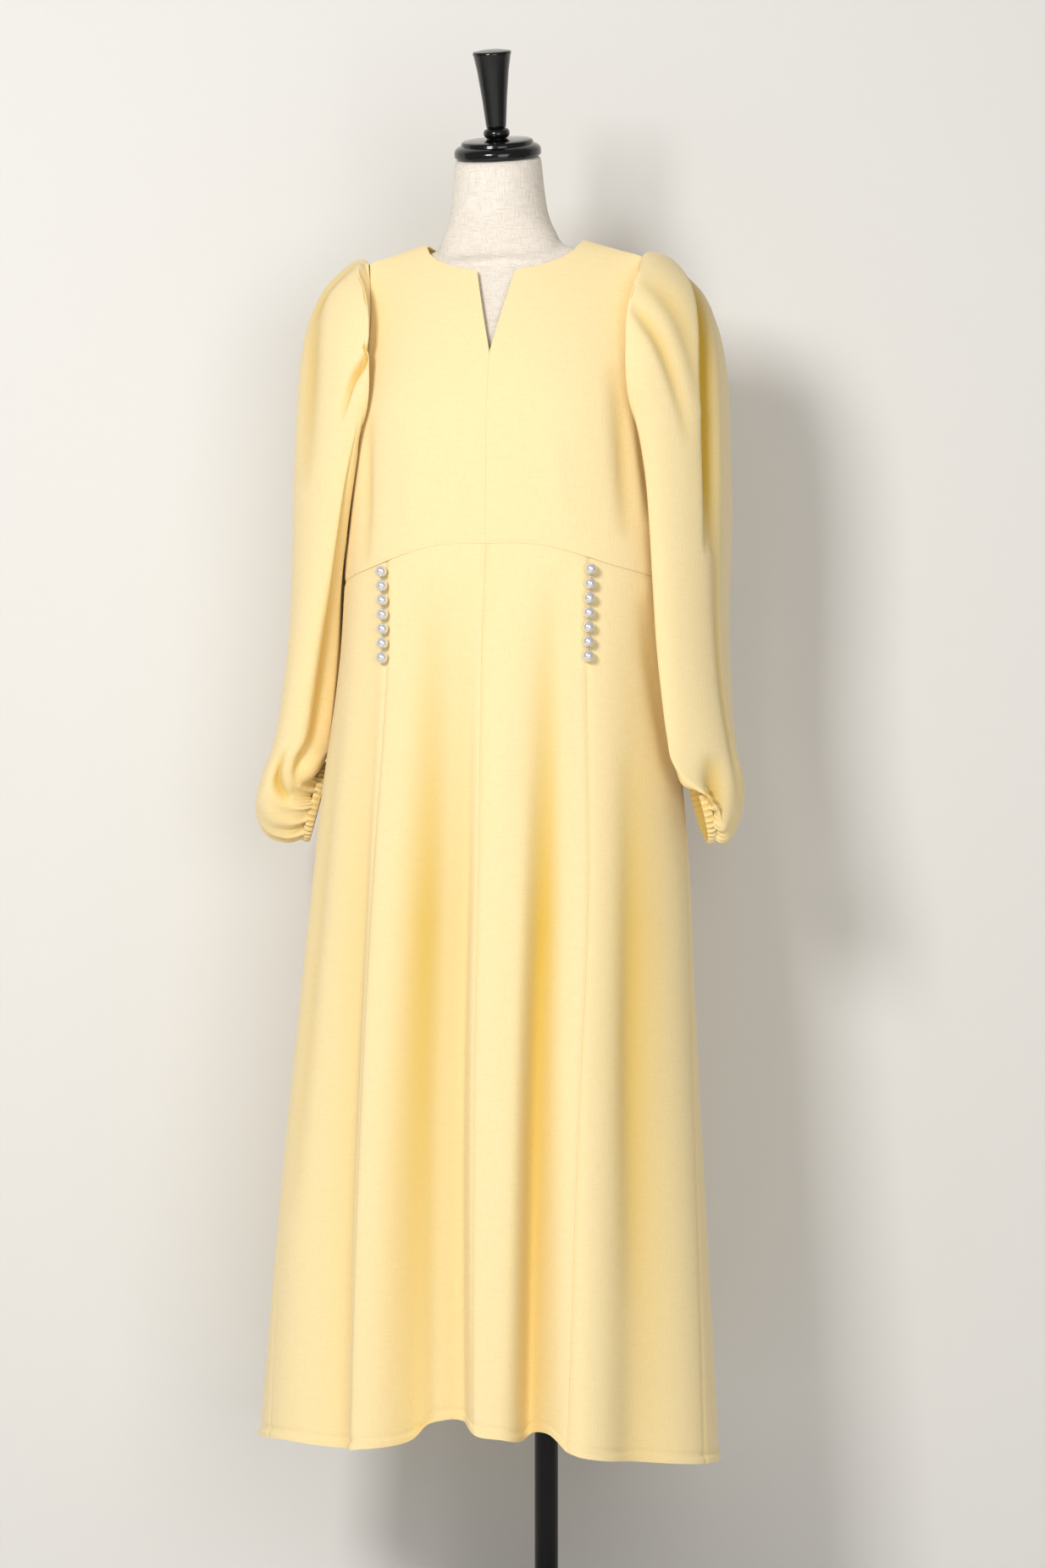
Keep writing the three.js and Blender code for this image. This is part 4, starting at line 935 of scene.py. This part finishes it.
def armhole_seam(sign, columns):
    """The armhole seam as a ring of points, starting at the shoulder tip and going round by the front."""
    tip = (SHOULDER_TIP, SHOULDER_PEAK_Z - SHOULDER_SLOPE * SHOULDER_TIP - 2 * SEAM_GAP)
    front = [body_point(angle_at(w, z, False) * sign, z) for w, z in [tip, *FRONT_ARMHOLE]]
    back = [body_point(angle_at(w, z, True) * sign, z) for w, z in reversed(BACK_ARMHOLE)]
    knots = np.array([*front, body_point(90 * sign, UNDERARM_Z), *back])
    count = len(knots)
    at = np.linspace(0, count, ARMHOLE_SAMPLES, endpoint=False)
    i = at.astype(int)
    s = (at - i)[:, None]
    before, here, there, after = (knots[(i + k) % count] for k in (-1, 0, 1, 2))
    ring = 0.5 * (
        2 * here
        + (there - before) * s
        + (2 * before - 5 * here + 4 * there - after) * s**2
        + (3 * here - before - 3 * there + after) * s**3
    )
    middle = ring.mean(axis=0)
    angles = np.arctan2((middle[1] - ring[:, 1]) * ARMHOLE_STRETCH, ring[:, 2] - middle[2]) % (2 * np.pi)
    order = np.argsort(angles)
    wanted = np.linspace(0, 2 * np.pi, columns, endpoint=False)
    angles, ring = angles[order], ring[order]
    points = np.stack([np.interp(wanted, angles, ring[:, k], period=2 * np.pi) for k in range(3)], -1)
    points[:, 0] += sign * (SEAM_GAP + CLOTH / 2)
    return points


def clear_of_body(points, sign, distance):
    """Points moved straight out from the body's middle until they are a distance clear of it."""
    z = points[..., 2]
    middle_x = plan_at["x"](z)

    def turn_of(place):
        return np.arctan2(sign * (place[..., 0] - middle_x), SHOULDER_Y - place[..., 1])

    wanted = turn_of(points)
    low = np.zeros_like(z)
    high = np.full_like(z, 180.0)
    for _ in range(HALVINGS):
        middle = (low + high) / 2
        short = turn_of(body_point(middle * sign, z)) < wanted
        low = np.where(short, middle, low)
        high = np.where(short, high, middle)
    body = body_point(low * sign, z)
    least = np.hypot(body[..., 0] - middle_x, body[..., 1] - SHOULDER_Y) + distance
    reach = np.hypot(points[..., 0] - middle_x, points[..., 1] - SHOULDER_Y)
    grown = np.maximum(1, least / np.maximum(reach, 1e-6))
    moved = points.copy()
    moved[..., 0] = middle_x + (points[..., 0] - middle_x) * grown
    moved[..., 1] = SHOULDER_Y + (points[..., 1] - SHOULDER_Y) * grown
    return moved


def twisted(outward, forward, ring, side):
    """A place in a sleeve's end, outward and forward of its ring's middle, turned with the ring."""
    turn = math.radians(float(through_rows(SLEEVE_TWIST, SIDE_INDEX[side])(ring)))
    return (
        outward * math.cos(turn) + forward * math.sin(turn),
        forward * math.cos(turn) - outward * math.sin(turn),
    )


def sleeve_ring(row, number, degrees, side, sign):
    """One ring of the sleeve's plain form, a slanted oval whose front end turns in to the body."""
    ring = dict(zip(RING_COLUMNS, row))
    angle = np.radians(degrees)
    middle_z = (ring["out_z"] + ring["in_z"]) / 2
    column = SIDE_INDEX[side]
    y = through_rows(SLEEVE_CENTRE_Y, column)(number)
    out_x = ring["out_x"] + through_rows(SLEEVE_SPREAD, column)(number)
    half_x = (out_x - ring["in_x"]) / 2
    half_z = (ring["out_z"] - ring["in_z"]) / 2
    reach = math.hypot(half_x, half_z)
    depth = np.where(np.sin(angle) > 0, ring["front"], ring["back"])
    radius = oval_radius(reach, depth, ring["square"], np.pi / 2 - angle)
    across = radius * np.cos(angle) / reach
    through = radius * np.sin(angle)
    share = through / ring["front"]
    inward = through_rows(SLEEVE_TURN, column)(number) * share**2 * np.where(share > 0, 1, -TURN_BEHIND)
    outward, forward = twisted(half_x * across - inward, through, number, side)
    x = (out_x + ring["in_x"]) / 2 + outward
    points = np.stack([plan_at["x"](middle_z) + sign * x, y - forward, middle_z + half_z * across], axis=-1)
    return clear_of_body(points, sign, float(through_rows(SLEEVE_CLEARANCE)(number)))


def sleeve_crease_out(side, degrees, ring):
    out = np.zeros(np.broadcast(degrees, ring).shape)
    for which, start, start_angle, end, end_angle, depth, behind, before in SLEEVE_CREASES:
        if which == side:
            share = np.clip((ring - start) / (end - start), 0, 1)
            off = wrapped(degrees - (start_angle + (end_angle - start_angle) * share))
            width = np.where(off < 0, behind, before)
            out += depth * np.sin(np.pi * share) ** CREASE_FADE * np.exp(-((off / width) ** 2))
    return out


def rolled_over(points, side, sign, degrees, ring):
    """The sleeve with its cloth rolled over the armhole seam at the front, and over the cuff."""
    moved = points.copy()
    for which, angle, half_width, middle, half_length, inward, forward, down in SLEEVE_ROLLS:
        if which == side:
            off = wrapped(degrees - angle) / half_width
            along = (ring - middle) / half_length
            share = np.exp(-(off**2) - along**2)
            moved -= share[..., None] * np.array([sign * inward, forward, down])
    return moved


def uneven(degrees, waves, depth, phase):
    """Gathers that are neither even in width nor in depth, as waves round a ring."""
    angle = np.radians(degrees)
    wander = angle + 0.09 * np.sin(3 * angle + phase) + 0.05 * np.sin(7 * angle + 2 * phase)
    size = 1 + 0.35 * np.sin(5 * angle + phase) + 0.2 * np.sin(11 * angle)
    return depth * size * np.cos(wander * waves + phase)


def balloon_sleeve(side, sign):
    degrees = np.linspace(0, 360, SLEEVE_COLUMNS, endpoint=False)
    below = [sleeve_ring(row, i, degrees, side, sign) for i, row in enumerate(SLEEVE_RINGS)]
    rings = np.array([armhole_seam(sign, SLEEVE_COLUMNS), *below])
    last = len(rings) - 1
    at = np.linspace(0, last, last * SLEEVE_ROWS_PER_RING + 1)
    i = np.clip(at.astype(int), 0, last - 1)
    s = (at - i)[:, None, None]
    slope = np.gradient(rings, axis=0)
    plain = (
        (2 * s**3 - 3 * s**2 + 1) * rings[i]
        + (s**3 - 2 * s**2 + s) * slope[i]
        + (3 * s**2 - 2 * s**3) * rings[i + 1]
        + (s**3 - s**2) * slope[i + 1]
    )
    ring = (at - 1)[:, None]
    plain[1:] = rolled_over(plain, side, sign, degrees, ring)[1:]
    normal = grid_normals(plain, closed=True)
    outward = plain - plain.mean(axis=1, keepdims=True)
    if np.einsum("ijk,ijk->", normal, outward) < 0:
        normal = -normal
    phase = sign * GATHER_PHASE
    gathered = np.clip(1 - (last - at) / GATHER_RINGS, 0, 1)[:, None] ** GATHER_GROWTH
    fine = np.clip(1 - (last - at) / FINE_GATHER_RINGS, 0, 1)[:, None]
    tucked = np.clip(1 - at / TUCK_RINGS, 0, 1)[:, None] * np.clip(at / TUCK_START_RINGS, 0, 1)[:, None]
    over_shoulder = np.exp(-((wrapped(degrees) / TUCK_SPAN) ** 4))
    out = (
        sleeve_crease_out(side, degrees, ring)
        + gathered * uneven(degrees, GATHER_WAVES, GATHER_DEPTH, phase)
        + fine * (uneven(degrees, FINE_GATHER_WAVES, FINE_GATHER_DEPTH, -phase) + FINE_GATHER_DEPTH)
        + tucked * over_shoulder * uneven(degrees, TUCK_WAVES, TUCK_DEPTH, phase)
    )
    clearance = np.clip(at * BODY_CLEARANCE_GROWTH, 0, BODY_CLEARANCE)[:, None] * np.ones(SLEEVE_COLUMNS)
    outer = clear_of_body(plain + normal * out[..., None], sign, clearance)
    outer[0] = plain[0]
    inner = outer - CLOTH * normal
    # painted shade of the sleeve: creases, hollows between gathers and the side against the body
    crease_painted_shade = np.clip(-sleeve_crease_out(side, degrees, ring) / SLEEVE_CREASE_FULL_SHADE, 0, 1)
    between = np.clip(0.5 - out * gathered / (2 * GATHER_DEPTH), 0, 1) * gathered
    off_body = wrapped(degrees - BESIDE_BODY_ANGLE) / BESIDE_BODY_SPAN
    body_side_painted_shade = BESIDE_BODY_PAINTED_SHADE * np.exp(-(off_body**4))
    body_side_painted_shade = body_side_painted_shade * np.clip(at[:, None] / BESIDE_BODY_RINGS, 0, 1)
    depth = crease_painted_shade + GATHER_PAINTED_SHADE * between + body_side_painted_shade
    piece = shell(f"balloon_sleeve_{side}", outer, inner, crepe, depth, closed=True)
    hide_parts(f"sleeve_{side}")


for side, sign in {"left": 1, "right": -1}.items():
    balloon_sleeve(side, sign)

# ---- Cuffs ----
# A narrow casing of the same crepe round elastic, drawn up into fine even ridges.
CUFF_LENGTH = 9
CUFF_WALL = 2.4
CUFF_BULGE = 0.5
CUFF_RIDGES = 40
CUFF_RIDGE_HEIGHT = 0.9
CUFF_EDGE_RIDGES = 0.75  # height of the ridges at the casing's edges, and inside it
CUFF_INNER_RIDGES = 0.4
CUFF_WANDER = 0.6
# painted shade in the hollows between the cuff's ridges
CUFF_PAINTED_SHADE = 0.35
CUFF_COLUMNS = 400
CUFF_ROWS = 12


def elastic_cuff(side, sign):
    ring = dict(zip(RING_COLUMNS, SLEEVE_RINGS[-1]))
    middle_z = (ring["out_z"] + ring["in_z"]) / 2
    last = len(SLEEVE_RINGS) - 1
    column = SIDE_INDEX[side]
    y = through_rows(SLEEVE_CENTRE_Y, column)(last)
    out_x = ring["out_x"] + through_rows(SLEEVE_SPREAD, column)(last)
    half = np.array([(out_x - ring["in_x"]) / 2, (ring["out_z"] - ring["in_z"]) / 2])
    centre = np.array([(out_x + ring["in_x"]) / 2, middle_z])
    way = np.array([half[1], -half[0]]) / np.hypot(*half)
    widest = max(ring["front"], ring["back"])
    turn = np.linspace(0, 2 * np.pi, CUFF_COLUMNS, endpoint=False)
    down = np.linspace(0, 1, CUFF_ROWS + 1)[:, None]
    ridge = CUFF_RIDGE_HEIGHT * np.cos(turn * CUFF_RIDGES + CUFF_WANDER * np.sin(3 * turn))

    def casing(lift, ridges):
        grown = 1 + (lift + ridge * ridges) / widest
        travel = SEAM_GAP + down * CUFF_LENGTH
        outward, forward = twisted(
            half[0] * np.cos(turn) * grown + way[0] * travel,
            widest * np.sin(turn) * grown,
            last,
            side,
        )
        z = centre[1] + half[1] * np.cos(turn) * grown + way[1] * travel
        return np.stack([plan_at["x"](middle_z) + sign * (centre[0] + outward), y - forward, z], axis=-1)

    rolled = np.sin(np.pi * down)
    lift = CUFF_WALL - CUFF_BULGE + 2 * CUFF_BULGE * rolled
    outer = casing(lift, CUFF_EDGE_RIDGES + (1 - CUFF_EDGE_RIDGES) * rolled)
    inner = casing(0.0, CUFF_INNER_RIDGES)
    # painted shade between the ridges
    depth = CUFF_PAINTED_SHADE * (1 - np.cos(turn * CUFF_RIDGES)) + 0 * down
    piece = shell(f"elastic_cuff_{side}", outer, inner, crepe, depth, closed=True)
    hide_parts(f"cuff_{side}")


for side, sign in {"left": 1, "right": -1}.items():
    elastic_cuff(side, sign)
